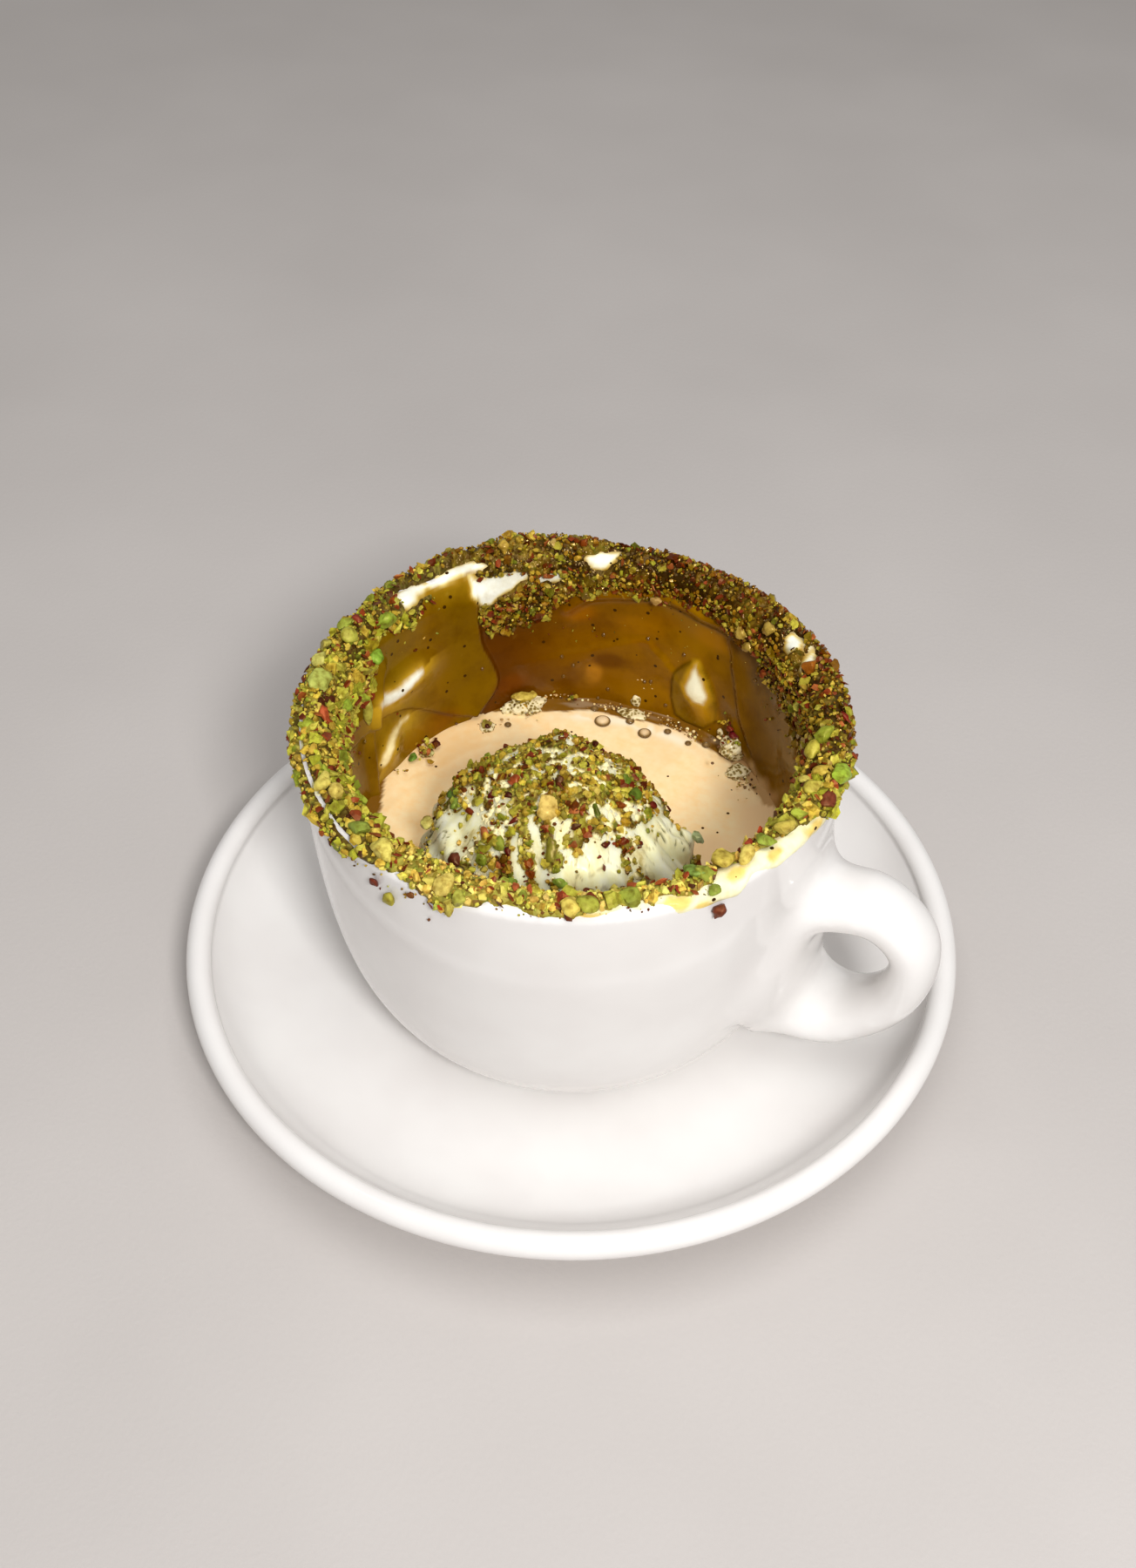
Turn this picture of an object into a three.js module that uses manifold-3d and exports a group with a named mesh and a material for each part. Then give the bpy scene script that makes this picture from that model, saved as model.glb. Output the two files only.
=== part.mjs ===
// An affogato served in a cappuccino cup on its saucer: pistachio cream lines the cup, milky
// coffee fills its lower half, a ball of ice cream stands in the coffee against one wall, and
// crushed pistachios crust the rim and the top of the ball.
// Millimetres, +Z up, the origin on the table under the saucer's centre, the handle along +X.

import * as THREE from 'three';
import { mergeVertices } from 'three/addons/utils/BufferGeometryUtils.js';
import Module from 'manifold-3d';

const wasm = await Module();
wasm.setup();

// Saucer
const SAUCER_RADIUS = 80;
const SAUCER_HEIGHT = 18.5;
const SAUCER_LIP = 2.6; // radius of the rounded edge
const SAUCER_WELL = 4.4; // height of the well's floor
const SAUCER_WELL_RADIUS = 52;
const SAUCER_FOOT_RADIUS = 48;
const SAUCER_FOOT_WIDTH = 4;
const SAUCER_UNDERSIDE = 1.4; // height of the underside within the foot ring
const SAUCER_BELLY = new THREE.Vector2(69.6, 3.7); // what rounds the underside
const SAUCER_SLOPE = new THREE.Vector2(68.8, SAUCER_WELL); // what rounds the upper side

// Cup
const CUP_RADIUS = 51.7; // at the rim
const CUP_RIM = 75.5; // height of the rim's top
const CUP_WALL = 4.6;
const RIM_ROUNDING = 1.5; // height of the rim's rounded edge
const CUP_UNDERSIDE = 5.4;
const CUP_FOOT_RADIUS = 31;
const CUP_FOOT_WIDTH = 4;
const CUP_HEEL = new THREE.Vector2(36.8, 6.7); // where the underside turns up into the belly
const CUP_BELLY = [new THREE.Vector2(45.8, 18), new THREE.Vector2(50.7, 25)]; // what rounds it
const CUP_HEEL_ROUNDING = 1.4;
const CUP_FLOOR = 11.3; // height of the inside floor
const CUP_FLOOR_RADIUS = 14;
const CUP_INSIDE = CUP_RADIUS - CUP_WALL; // inner radius of the upright part
const WALL_TURNS_UPRIGHT = 62; // height above which the inside stands straight
const CUP_HOLLOW = [ // what rounds the inside below that height
  new THREE.Vector2(42.9, CUP_FLOOR),
  new THREE.Vector2(CUP_INSIDE, 26.7),
];

// Contents
const CREAM_THICKNESS = 2.1;
const COFFEE_LEVEL = 39.5;
const SCOOP = new THREE.Vector2(2.8, -12.5); // where the ball stands
const SCOOP_RADIUS = 27.3; // at the coffee's surface
const SCOOP_RISE = 31.6; // from the coffee's surface to the ball's top
const SCOOP_DEPTH = 22; // from the coffee's surface to the ball's underside
const SCOOP_TAPER_ABOVE = 1.7; // 1 is a ball, more draws it to a cone
const SCOOP_TAPER_BELOW = 1.3;
const SCOOP_FULLNESS = 0.85; // 1 is a ball, less fills its sides
const SCOOP_FOLDS = 0.035; // share by which the drips stand out of the ball's side

// Pistachios
const NUT_CRUST = 2.2; // thickness of the crushed nuts on top of the rim and inside it
const NUT_OVERHANG = 0.9; // how far they stand out beyond the rim
const NUT_ROUGHNESS = 1.1; // how far single lumps stand in or out
const NUTS_OUTSIDE = 74.4; // lowest nuts on the outer side of the rim
const NUTS_INSIDE = 66.5; // usual lower edge of the nuts on the inner wall
const NUTS_SCOOP_CRUST = 1.8; // thickness on the ball
const NUTS_SCOOP_EDGE = 0.62; // radians above the coffee at which that crust begins

// Every piece clears its neighbours by this much.
const GAP = 0.3;

const FULL_TURN = 2 * Math.PI;
const QUARTER_TURN = Math.PI / 2;
const ROUND_SEGMENTS = 48;
const SCOOP_SEGMENTS = 28;

// ---------------------------------------------------------------------------------------------
// Shared shaping

// A solid of revolution about Z whose section may change on its way round. sectionAt(azimuth)
// gives the section as (radius, height) points, anticlockwise, either from axis to axis or
// closed on itself, with the same number of points at every azimuth.
function turned(sectionAt, segments) {
  const count = sectionAt(0).length;
  const geometry = new THREE.LatheGeometry(sectionAt(0), segments);
  const position = geometry.attributes.position;
  for (let column = 0; column <= segments; column += 1) {
    const azimuth = (column % segments) * FULL_TURN / segments;
    sectionAt(azimuth).forEach((point, row) => {
      const x = point.x * Math.cos(azimuth);
      const y = point.x * Math.sin(azimuth);
      position.setXYZ(column * count + row, x, y, point.y);
    });
  }
  return welded(geometry);
}

// Shared vertices merged and the flat triangles at the poles dropped, so the surface is closed.
function welded(geometry) {
  geometry.deleteAttribute('normal');
  geometry.deleteAttribute('uv');
  const merged = mergeVertices(geometry, 1e-4);
  const corners = merged.index.array;
  const kept = [];
  for (let i = 0; i < corners.length; i += 3) {
    const [a, b, c] = corners.slice(i, i + 3);
    if (a !== b && b !== c && c !== a) kept.push(a, b, c);
  }
  merged.setIndex(kept);
  return merged;
}

function toSolid(geometry) {
  return new wasm.Manifold(new wasm.Mesh({
    numProp: 3,
    vertProperties: new Float32Array(geometry.attributes.position.array),
    triVerts: new Uint32Array(geometry.index.array),
  }));
}

function toGeometry(solid) {
  const mesh = solid.getMesh();
  const geometry = new THREE.BufferGeometry();
  geometry.setAttribute('position', new THREE.BufferAttribute(mesh.vertProperties, 3));
  geometry.setIndex(new THREE.BufferAttribute(mesh.triVerts, 1));
  return geometry;
}

function named(name, geometry, material) {
  const mesh = new THREE.Mesh(geometry, material);
  mesh.name = name;
  return mesh;
}

// A repeatable value from -1 to 1 for a pair of numbers, for the lumps of the crushed nuts.
function lump(a, b) {
  const wave = Math.sin(a * 127.1 + b * 311.7) * 43758.5453;
  return 2 * (wave - Math.floor(wave)) - 1;
}

// ---------------------------------------------------------------------------------------------
// Saucer: a shallow dish with a wide flat well, a rounded lip and a foot ring

function saucer() {
  const point = (radius, height) => new THREE.Vector2(radius, height);
  const footInside = SAUCER_FOOT_RADIUS - SAUCER_FOOT_WIDTH;
  const lip = new THREE.EllipseCurve(
    SAUCER_RADIUS - SAUCER_LIP,
    SAUCER_HEIGHT - SAUCER_LIP,
    SAUCER_LIP,
    SAUCER_LIP,
    -0.2 * Math.PI,
    Math.PI,
  ).getPoints(5);
  const underside = new THREE.QuadraticBezierCurve(
    point(SAUCER_FOOT_RADIUS + 1, SAUCER_UNDERSIDE),
    SAUCER_BELLY,
    lip.at(0),
  ).getPoints(4);
  const slope = new THREE.QuadraticBezierCurve(
    lip.at(-1),
    SAUCER_SLOPE,
    point(SAUCER_WELL_RADIUS, SAUCER_WELL),
  ).getPoints(5);
  const section = [
    point(0, SAUCER_UNDERSIDE),
    point(footInside - 1, SAUCER_UNDERSIDE),
    point(footInside, 0),
    point(SAUCER_FOOT_RADIUS, 0),
    ...underside.slice(0, -1),
    ...lip,
    ...slope.slice(1),
    point(0, SAUCER_WELL),
  ];
  return turned(() => section, ROUND_SEGMENTS);
}

// ---------------------------------------------------------------------------------------------
// Cup: a round-bellied wall on a low foot ring, with a thick ear handle

// The inside of the wall, pulled in by inset, from the floor's edge up to the straight part.
function insideCurve(inset) {
  return new THREE.CubicBezierCurve(
    new THREE.Vector2(CUP_FLOOR_RADIUS, CUP_FLOOR + inset),
    new THREE.Vector2(CUP_HOLLOW[0].x - inset, CUP_HOLLOW[0].y + inset),
    new THREE.Vector2(CUP_HOLLOW[1].x - inset, CUP_HOLLOW[1].y),
    new THREE.Vector2(CUP_INSIDE - inset, WALL_TURNS_UPRIGHT),
  );
}

// Points of the inside at the given inset, from the floor's centre up to height top.
function insidePoints(inset, top) {
  const straight = new THREE.Vector2(CUP_INSIDE - inset, Math.max(top, WALL_TURNS_UPRIGHT + 1));
  const points = [new THREE.Vector2(0, CUP_FLOOR + inset), ...insideCurve(inset).getPoints(6), straight];
  const above = points.findIndex((point) => point.y >= top);
  const below = points[above - 1];
  const share = (top - below.y) / (points[above].y - below.y);
  return [...points.slice(0, above), below.clone().lerp(points[above], share)];
}

function cupBody() {
  const point = (radius, height) => new THREE.Vector2(radius, height);
  const footBottom = SAUCER_WELL + GAP;
  const footInside = CUP_FOOT_RADIUS - CUP_FOOT_WIDTH;
  const rimHeight = CUP_RIM - RIM_ROUNDING;
  const heel = new THREE.QuadraticBezierCurve(
    point(CUP_FOOT_RADIUS, CUP_UNDERSIDE),
    point(CUP_HEEL.x - CUP_HEEL_ROUNDING, CUP_UNDERSIDE),
    CUP_HEEL,
  ).getPoints(2);
  const top = point(CUP_RADIUS, rimHeight);
  const belly = new THREE.CubicBezierCurve(CUP_HEEL, ...CUP_BELLY, top).getPoints(8);
  const rim = new THREE.EllipseCurve(
    CUP_RADIUS - CUP_WALL / 2,
    rimHeight,
    CUP_WALL / 2,
    RIM_ROUNDING,
    0,
    Math.PI,
  ).getPoints(4);
  const section = [
    point(0, CUP_UNDERSIDE),
    point(footInside - 0.5, CUP_UNDERSIDE),
    point(footInside, footBottom),
    point(CUP_FOOT_RADIUS - 0.5, footBottom),
    ...heel.slice(0, -1),
    ...belly.slice(0, -1),
    ...rim,
    ...insidePoints(0, rimHeight).slice(0, -1).reverse(),
  ];
  return turned(() => section, ROUND_SEGMENTS);
}

// The handle's middle line in the plane through the cup's axis, as (radius, height) points from
// the upper root, round the ear, to the lower root. Both ends lie inside the cup's wall.
const HANDLE_LINE = new THREE.SplineCurve([
  new THREE.Vector2(43.0, 43.0),
  new THREE.Vector2(54.4, 50.2),
  new THREE.Vector2(63.6, 51.2),
  new THREE.Vector2(71.6, 43.4),
  new THREE.Vector2(68.8, 29.8),
  new THREE.Vector2(57.0, 21.2),
  new THREE.Vector2(42.0, 18.0),
]);

// Half the handle's thickness along that line: (in the ear's plane, across it). The roots flare.
const HANDLE_SECTION = new THREE.SplineCurve([
  new THREE.Vector2(9.0, 14.0),
  new THREE.Vector2(4.8, 7.6),
  new THREE.Vector2(4.6, 6.9),
  new THREE.Vector2(4.4, 6.8),
  new THREE.Vector2(4.5, 6.9),
  new THREE.Vector2(4.8, 7.6),
  new THREE.Vector2(5.2, 13.0),
]);

// The wall swells between the roots: the swelling's centre in the ear's plane, and its half
// sizes outwards, across and upwards.
const HANDLE_SWELLING = new THREE.Vector2(47.0, 34.0);
const HANDLE_SWELLING_SIZE = new THREE.Vector3(7.2, 12.0, 19.0);

// A round bar bent along the handle's line, its section stretched to the handle's.
function handle() {
  const aroundSegments = 12;
  const alongSegments = 18;
  const bar = new THREE.CylinderGeometry(1, 1, 1, aroundSegments, alongSegments);
  const position = bar.attributes.position;
  for (let i = 0; i < position.count; i += 1) {
    const along = position.getY(i) + 0.5;
    const middle = HANDLE_LINE.getPoint(along);
    const direction = HANDLE_LINE.getTangent(along);
    const size = HANDLE_SECTION.getPoint(along);
    const inPlane = position.getX(i) * size.x;
    const across = position.getZ(i) * size.y;
    position.setXYZ(
      i,
      middle.x - direction.y * inPlane,
      across,
      middle.y + direction.x * inPlane,
    );
  }
  return welded(bar);
}

// The room inside the cup, open above its rim, which the handle's roots are trimmed by.
function cupCavity() {
  const top = CUP_RIM + 10;
  const section = [...insidePoints(0, top), new THREE.Vector2(0, top)];
  return turned(() => section, ROUND_SEGMENTS);
}

function cup() {
  const meridians = 14;
  const parallels = 8;
  const swelling = new THREE.SphereGeometry(1, meridians, parallels)
    .scale(HANDLE_SWELLING_SIZE.x, HANDLE_SWELLING_SIZE.y, HANDLE_SWELLING_SIZE.z)
    .translate(HANDLE_SWELLING.x, 0, HANDLE_SWELLING.y);
  const ear = toSolid(handle()).add(toSolid(welded(swelling)));
  return toGeometry(toSolid(cupBody()).add(ear.subtract(toSolid(cupCavity()))));
}

// ---------------------------------------------------------------------------------------------
// Pistachio cream: a thin layer spread over the whole inside of the cup, up to the rim

function pistachioCream() {
  const top = CUP_RIM - RIM_ROUNDING;
  const outside = insidePoints(GAP, top);
  const inside = insidePoints(GAP + CREAM_THICKNESS, top).reverse();
  return turned(() => [...outside, ...inside], ROUND_SEGMENTS);
}

// ---------------------------------------------------------------------------------------------
// Ice cream: one ball, fuller below and drawn to a soft cone on top, with drips down its side

// The ball's outline at an azimuth, in its own axis. angle runs from a quarter turn below the
// coffee's surface, at the underside, to a quarter turn above it, at the top.
function scoopOutline(azimuth, angle) {
  const rise = angle < 0 ? -SCOOP_DEPTH : SCOOP_RISE;
  const taper = angle < 0 ? SCOOP_TAPER_BELOW : SCOOP_TAPER_ABOVE;
  const drips = 0.6 * Math.sin(5 * azimuth + 0.6) + 0.4 * Math.sin(9 * azimuth + 2.1);
  const radius = SCOOP_RADIUS * (1 + SCOOP_FOLDS * drips * Math.cos(angle));
  return new THREE.Vector2(
    radius * Math.abs(Math.cos(angle)) ** SCOOP_FULLNESS,
    COFFEE_LEVEL + rise * Math.abs(Math.sin(angle)) ** taper,
  );
}

// The same outline moved out along its own normal by grow.
function scoopPoint(azimuth, angle, grow) {
  const step = 0.01;
  const limit = QUARTER_TURN - step;
  const near = THREE.MathUtils.clamp(angle, -limit, limit);
  const along = scoopOutline(azimuth, near + step).sub(scoopOutline(azimuth, near - step)).normalize();
  const onAxis = Math.abs(angle) > limit;
  const point = scoopOutline(azimuth, angle);
  return new THREE.Vector2(
    onAxis ? 0 : point.x + along.y * grow,
    onAxis ? point.y + Math.sign(angle) * grow : point.y - along.x * grow,
  );
}

function scoopBall(grow) {
  const rows = 12;
  const angles = Array.from({ length: rows + 1 }, (_, row) => QUARTER_TURN * (2 * row / rows - 1));
  const sectionAt = (azimuth) => angles.map((angle) => scoopPoint(azimuth, angle, grow));
  return turned(sectionAt, SCOOP_SEGMENTS).translate(SCOOP.x, SCOOP.y, 0);
}

// ---------------------------------------------------------------------------------------------
// Coffee: fills the cream-lined cup up to its level, round the ball

function coffee() {
  const fill = insidePoints(2 * GAP + CREAM_THICKNESS, COFFEE_LEVEL);
  const section = [...fill, new THREE.Vector2(0, COFFEE_LEVEL)];
  const pool = toSolid(turned(() => section, ROUND_SEGMENTS));
  return toGeometry(pool.subtract(toSolid(scoopBall(GAP))));
}

// ---------------------------------------------------------------------------------------------
// Crushed pistachios: an uneven crust over the rim and down the inner wall

// Where the crust reaches lower (or, below zero, stays higher) on the inner wall than usual:
// azimuth in degrees, depth, and half width in degrees.
const CRUST_RUNS = [
  { azimuth: 30, depth: 9, width: 16 },
  { azimuth: 84, depth: -4, width: 18 },
  { azimuth: 129, depth: 9, width: 14 },
  { azimuth: 174, depth: -5.5, width: 21 },
  { azimuth: 214, depth: 5, width: 14 },
];

function crustEdge(azimuth) {
  const degrees = THREE.MathUtils.radToDeg(azimuth);
  const runs = CRUST_RUNS.map(
    (run) => run.depth * Math.exp(-(((degrees - run.azimuth) / run.width) ** 2)),
  );
  return NUTS_INSIDE - runs.reduce((sum, run) => sum + run, 0) + 0.6 * NUT_ROUGHNESS * lump(azimuth, 0);
}

function rimNuts() {
  const rimMiddle = CUP_RADIUS - CUP_WALL / 2;
  const rimHeight = CUP_RIM - RIM_ROUNDING;
  const outer = CUP_RADIUS + GAP;
  const backing = CREAM_THICKNESS + 2 * GAP;
  const wallAt = (height) => insidePoints(backing, height).at(-1).x;
  const wall = wallAt(CUP_RIM);
  const overRim = [0.75, 0.5, 0.25].map((share) => new THREE.Vector2(
    rimMiddle + (CUP_WALL / 2 + 2 * GAP) * Math.cos(share * Math.PI),
    rimHeight + (RIM_ROUNDING + 2 * GAP) * Math.sin(share * Math.PI),
  ));
  function sectionAt(azimuth) {
    const edge = crustEdge(azimuth);
    const middle = (edge + CUP_RIM) / 2;
    const rough = (row) => NUT_ROUGHNESS * lump(azimuth, row);
    const crust = [
      [outer, NUTS_OUTSIDE],
      [outer + NUT_OVERHANG + rough(2) / 3, NUTS_OUTSIDE + rough(1) / 3],
      [outer + 0.7 * NUT_OVERHANG + rough(3) / 3, CUP_RIM + 0.6 * NUT_CRUST],
      [rimMiddle + 0.8, CUP_RIM + NUT_CRUST + rough(4)],
      [wall, CUP_RIM + 0.8 * NUT_CRUST + rough(5)],
      [wall - NUT_CRUST + rough(6), CUP_RIM - NUT_CRUST],
      [wallAt(middle) - NUT_CRUST + rough(7), middle],
      [wallAt(edge) - 0.4 * NUT_CRUST, edge],
      [wallAt(edge + 0.5), edge + 0.5],
      [wall, rimHeight],
    ].map(([radius, height]) => new THREE.Vector2(radius, height));
    return [...crust, ...overRim, crust[0].clone()];
  }
  return turned(sectionAt, ROUND_SEGMENTS);
}

// A cap of the same nuts over the top of the ball, its edge uneven.
function scoopNuts() {
  const rows = 5;
  const crustAngles = Array.from({ length: rows + 1 }, (_, row) => row / rows);
  function sectionAt(azimuth) {
    const edge = NUTS_SCOOP_EDGE + 0.12 * Math.sin(3 * azimuth + 1) + 0.08 * lump(azimuth, 20);
    const angles = crustAngles.map((share) => edge + (QUARTER_TURN - edge) * share);
    const inside = angles.map((angle) => scoopPoint(azimuth, angle, 2 * GAP));
    const outside = angles.map((angle, row) => {
      const thickness = row === 0 || row === rows ? 0.6 : 0.8 + 0.35 * lump(azimuth, 30 + row);
      return scoopPoint(azimuth, angle, 2 * GAP + NUTS_SCOOP_CRUST * thickness);
    });
    return [...inside.reverse(), ...outside];
  }
  return turned(sectionAt, SCOOP_SEGMENTS).translate(SCOOP.x, SCOOP.y, 0);
}

// ---------------------------------------------------------------------------------------------
// Assembly

const porcelain = new THREE.MeshStandardMaterial({ color: 0xf4f1ee, roughness: 0.12, metalness: 0 });
const cream = new THREE.MeshStandardMaterial({ color: 0x8a7a1c, roughness: 0.2, metalness: 0 });
const coffeeFoam = new THREE.MeshStandardMaterial({ color: 0xe3bd8d, roughness: 0.35, metalness: 0 });
const iceCream = new THREE.MeshStandardMaterial({ color: 0xe9e4b0, roughness: 0.5, metalness: 0 });
const pistachio = new THREE.MeshStandardMaterial({ color: 0x95932f, roughness: 0.6, metalness: 0 });

const affogato = new THREE.Group();
affogato.add(
  named('saucer', saucer(), porcelain),
  named('cup', cup(), porcelain),
  named('pistachio_cream', pistachioCream(), cream),
  named('coffee', coffee(), coffeeFoam),
  named('ice_cream', scoopBall(0), iceCream),
  named('rim_nuts', rimNuts(), pistachio),
  named('scoop_nuts', scoopNuts(), pistachio),
);

export default affogato;
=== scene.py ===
import math

import bmesh
import bpy
import numpy as np
from mathutils import Matrix, Vector, geometry, noise
from mathutils.kdtree import KDTree


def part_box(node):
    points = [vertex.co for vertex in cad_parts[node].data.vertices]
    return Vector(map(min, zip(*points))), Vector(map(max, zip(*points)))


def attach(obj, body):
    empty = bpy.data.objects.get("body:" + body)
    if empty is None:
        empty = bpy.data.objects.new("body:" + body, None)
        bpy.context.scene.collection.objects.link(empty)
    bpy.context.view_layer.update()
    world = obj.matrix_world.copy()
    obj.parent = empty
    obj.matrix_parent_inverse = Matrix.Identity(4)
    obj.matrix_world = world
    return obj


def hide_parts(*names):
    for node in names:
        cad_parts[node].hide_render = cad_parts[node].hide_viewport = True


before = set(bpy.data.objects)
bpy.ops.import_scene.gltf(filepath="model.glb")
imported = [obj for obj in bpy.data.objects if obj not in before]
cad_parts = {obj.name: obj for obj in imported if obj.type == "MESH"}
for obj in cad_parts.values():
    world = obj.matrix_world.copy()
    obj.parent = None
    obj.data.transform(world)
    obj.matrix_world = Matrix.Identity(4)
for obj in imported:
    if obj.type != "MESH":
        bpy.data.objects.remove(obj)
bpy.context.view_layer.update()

MM = 0.001
scene = bpy.context.scene
scene.view_settings.view_transform = "Standard"

# ----------------------------------------------------------------------------------------------
# Camera: stands in front of the handle side and looks down into the cup, with the table round
# the saucer in view.

view_azimuth = math.radians(26.3)
view_elevation = math.radians(44.43)
view_roll = math.radians(0.215)
view_distance = 436.6 * MM
looks_at = Vector((-26.2, 51.2, 0.0)) * MM

back = Vector((
    math.sin(view_azimuth) * math.cos(view_elevation),
    -math.cos(view_azimuth) * math.cos(view_elevation),
    math.sin(view_elevation),
))
level_right = Vector((0.0, 0.0, 1.0)).cross(back).normalized()
level_up = back.cross(level_right)
right = level_right * math.cos(view_roll) + level_up * math.sin(view_roll)
up = level_up * math.cos(view_roll) - level_right * math.sin(view_roll)

camera = bpy.data.objects.new("camera", bpy.data.cameras.new("camera"))
camera.data.sensor_width = 36.0
camera.data.lens = 42.0
camera.data.clip_start = 0.01
camera.matrix_world = Matrix.Translation(looks_at + back * view_distance) @ Matrix(
    (right, up, back)
).transposed().to_4x4()
scene.collection.objects.link(camera)
scene.camera = camera

# ----------------------------------------------------------------------------------------------
# Light: a soft box just to the right of the camera gives the shadow on the left of the cup, a
# second one over the table fills it, and a pale room gives the rest.

lit_height = 40 * MM  # the lamps face the cup's middle


def soft_box(name, direction, distance, size, power):
    """A square lamp of size metres at a distance from the cup, which it faces."""
    lamp = bpy.data.lights.new(name, "AREA")
    lamp.shape = "RECTANGLE"
    lamp.size = lamp.size_y = size
    lamp.energy = power
    shown = bpy.data.objects.new(name, lamp)
    towards = Vector(direction).normalized()
    shown.location = towards * distance + Vector((0.0, 0.0, lit_height))
    shown.rotation_mode = "QUATERNION"
    shown.rotation_quaternion = towards.to_track_quat("Z", "Y")
    scene.collection.objects.link(shown)


soft_box("key_soft_box", right * 0.21 + back * 0.98, 0.9, 0.16, 6.3)
soft_box("top_soft_box", (0.08, -0.12, 1.0), 1.0, 0.8, 5.0)

room = bpy.data.worlds.new("pale_room")
room.use_nodes = True
room.node_tree.nodes["Background"].inputs["Color"].default_value = (1.0, 0.985, 0.97, 1.0)
room.node_tree.nodes["Background"].inputs["Strength"].default_value = 0.22
scene.world = room


# ----------------------------------------------------------------------------------------------
# Table: a plain board painted a pale warm grey with a matt roller finish, which leaves a faint
# stipple. It isn't part of the dessert.


def linear(hex_colour):
    """An sRGB hex colour as linear red, green, blue and alpha."""
    channels = [int(hex_colour[i:i + 2], 16) / 255 for i in (1, 3, 5)]
    return (*[c / 12.92 if c <= 0.04045 else ((c + 0.055) / 1.055) ** 2.4 for c in channels], 1.0)


def add(material, kind, settings=None, links=None, stops=None):
    """Adds a node with its settings. Each link is a value, or the output that feeds the input.
    stops are a colour ramp's (position, hex colour) pairs."""
    tree = material.node_tree
    made = tree.nodes.new(kind)
    for name, value in (settings or {}).items():
        setattr(made, name, value)
    for name, value in (links or {}).items():
        if isinstance(value, bpy.types.NodeSocket):
            tree.links.new(value, made.inputs[name])
        else:
            made.inputs[name].default_value = value
    if stops:
        ramp = made.color_ramp.elements
        while len(ramp) > 1:
            ramp.remove(ramp[-1])
        ramp[0].position, ramp[0].color = stops[0][0], linear(stops[0][1])
        for position, colour in stops[1:]:
            ramp.new(position).color = linear(colour)
    return made


def surface(name, settings):
    """A material, and its Principled shader with the settings on its sockets."""
    material = bpy.data.materials.new(name)
    material.use_nodes = True
    shader = material.node_tree.nodes["Principled BSDF"]
    for socket, value in settings.items():
        shader.inputs[socket].default_value = value
    return material, shader


def join(material, output, shader, socket):
    """Feeds a node's output to the shader's socket."""
    material.node_tree.links.new(output, shader.inputs[socket])


def piece(name, mesh, *materials, smooth=True):
    """A finished object at the origin that carries the mesh and its materials."""
    for material in materials:
        mesh.materials.append(material)
    mesh.polygons.foreach_set("use_smooth", [smooth] * len(mesh.polygons))
    made = bpy.data.objects.new(name, mesh)
    scene.collection.objects.link(made)
    return made


roller_cloud = MM / 0.009  # the paint varies over about 110 mm
roller_stipple = MM / 0.9  # and has a grain of 1.1 mm

# Rolled emulsion: no shine, a faint stipple and slow clouds.
board_paint, board_shader = surface("matt_painted_board", {"Roughness": 0.75, "IOR": 1.45})
board_place = add(board_paint, "ShaderNodeTexCoord")
board_cloud = add(board_paint, "ShaderNodeTexNoise", links={
    "Vector": board_place.outputs["Object"], "Scale": 1 / roller_cloud, "Detail": 3.0})
board_tone = add(board_paint, "ShaderNodeValToRGB", links={"Fac": board_cloud.outputs["Fac"]}, stops=[
    (0.3, "#bdb7b3"), (0.7, "#c5bfbb")])
join(board_paint, board_tone.outputs["Color"], board_shader, "Base Color")
board_stipple = add(board_paint, "ShaderNodeTexNoise", links={
    "Vector": board_place.outputs["Object"], "Scale": 1 / roller_stipple, "Detail": 2.0})
board_bump = add(board_paint, "ShaderNodeBump", links={
    "Height": board_stipple.outputs["Fac"], "Strength": 0.25, "Distance": 0.2 * MM})
join(board_paint, board_bump.outputs["Normal"], board_shader, "Normal")

table_half = 3.0  # m, far past the view
table_top = bmesh.new()
bmesh.ops.create_grid(table_top, x_segments=8, y_segments=8, size=table_half)
table_mesh = bpy.data.meshes.new("table_top")
table_top.to_mesh(table_mesh)
table_top.free()
piece("table_top", table_mesh, board_paint)

# ----------------------------------------------------------------------------------------------
# Saucer: white hard-paste porcelain, jiggered on a mould and glazed all over but for the foot
# ring. A wide flat well rises to a thick rounded lip.

bisque_height = 0.35 * MM  # the foot ring is bare, and matt, below this
orange_peel = 1.6 * MM  # spacing of the glaze's faint ripple
glaze_cloud = 18.0 * MM  # spacing of its slight change of tone

# A clear glaze over a white body: crisp reflections that waver a little.
porcelain, porcelain_shader = surface("glazed_porcelain", {"IOR": 1.5, "Roughness": 0.09})
porcelain_place = add(porcelain, "ShaderNodeTexCoord")
porcelain_cloud = add(porcelain, "ShaderNodeTexNoise", links={
    "Vector": porcelain_place.outputs["Object"], "Scale": 1 / glaze_cloud, "Detail": 2.0})
porcelain_tone = add(porcelain, "ShaderNodeValToRGB", links={"Fac": porcelain_cloud.outputs["Fac"]},
                     stops=[(0.3, "#e6e2df"), (0.7, "#ece9e6")])
porcelain_height = add(porcelain, "ShaderNodeSeparateXYZ", links={
    "Vector": porcelain_place.outputs["Object"]})
bare_foot = add(porcelain, "ShaderNodeMath", {"operation": "LESS_THAN"}, {
    0: porcelain_height.outputs["Z"], 1: bisque_height})
porcelain_colour = add(porcelain, "ShaderNodeMix", {"data_type": "RGBA"}, {
    "Factor": bare_foot.outputs[0], 6: porcelain_tone.outputs["Color"], 7: linear("#cfc6b8")})
join(porcelain, porcelain_colour.outputs[2], porcelain_shader, "Base Color")
porcelain_gloss = add(porcelain, "ShaderNodeMapRange", links={
    "Value": bare_foot.outputs[0], "To Min": 0.09, "To Max": 0.8})
join(porcelain, porcelain_gloss.outputs["Result"], porcelain_shader, "Roughness")
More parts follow.
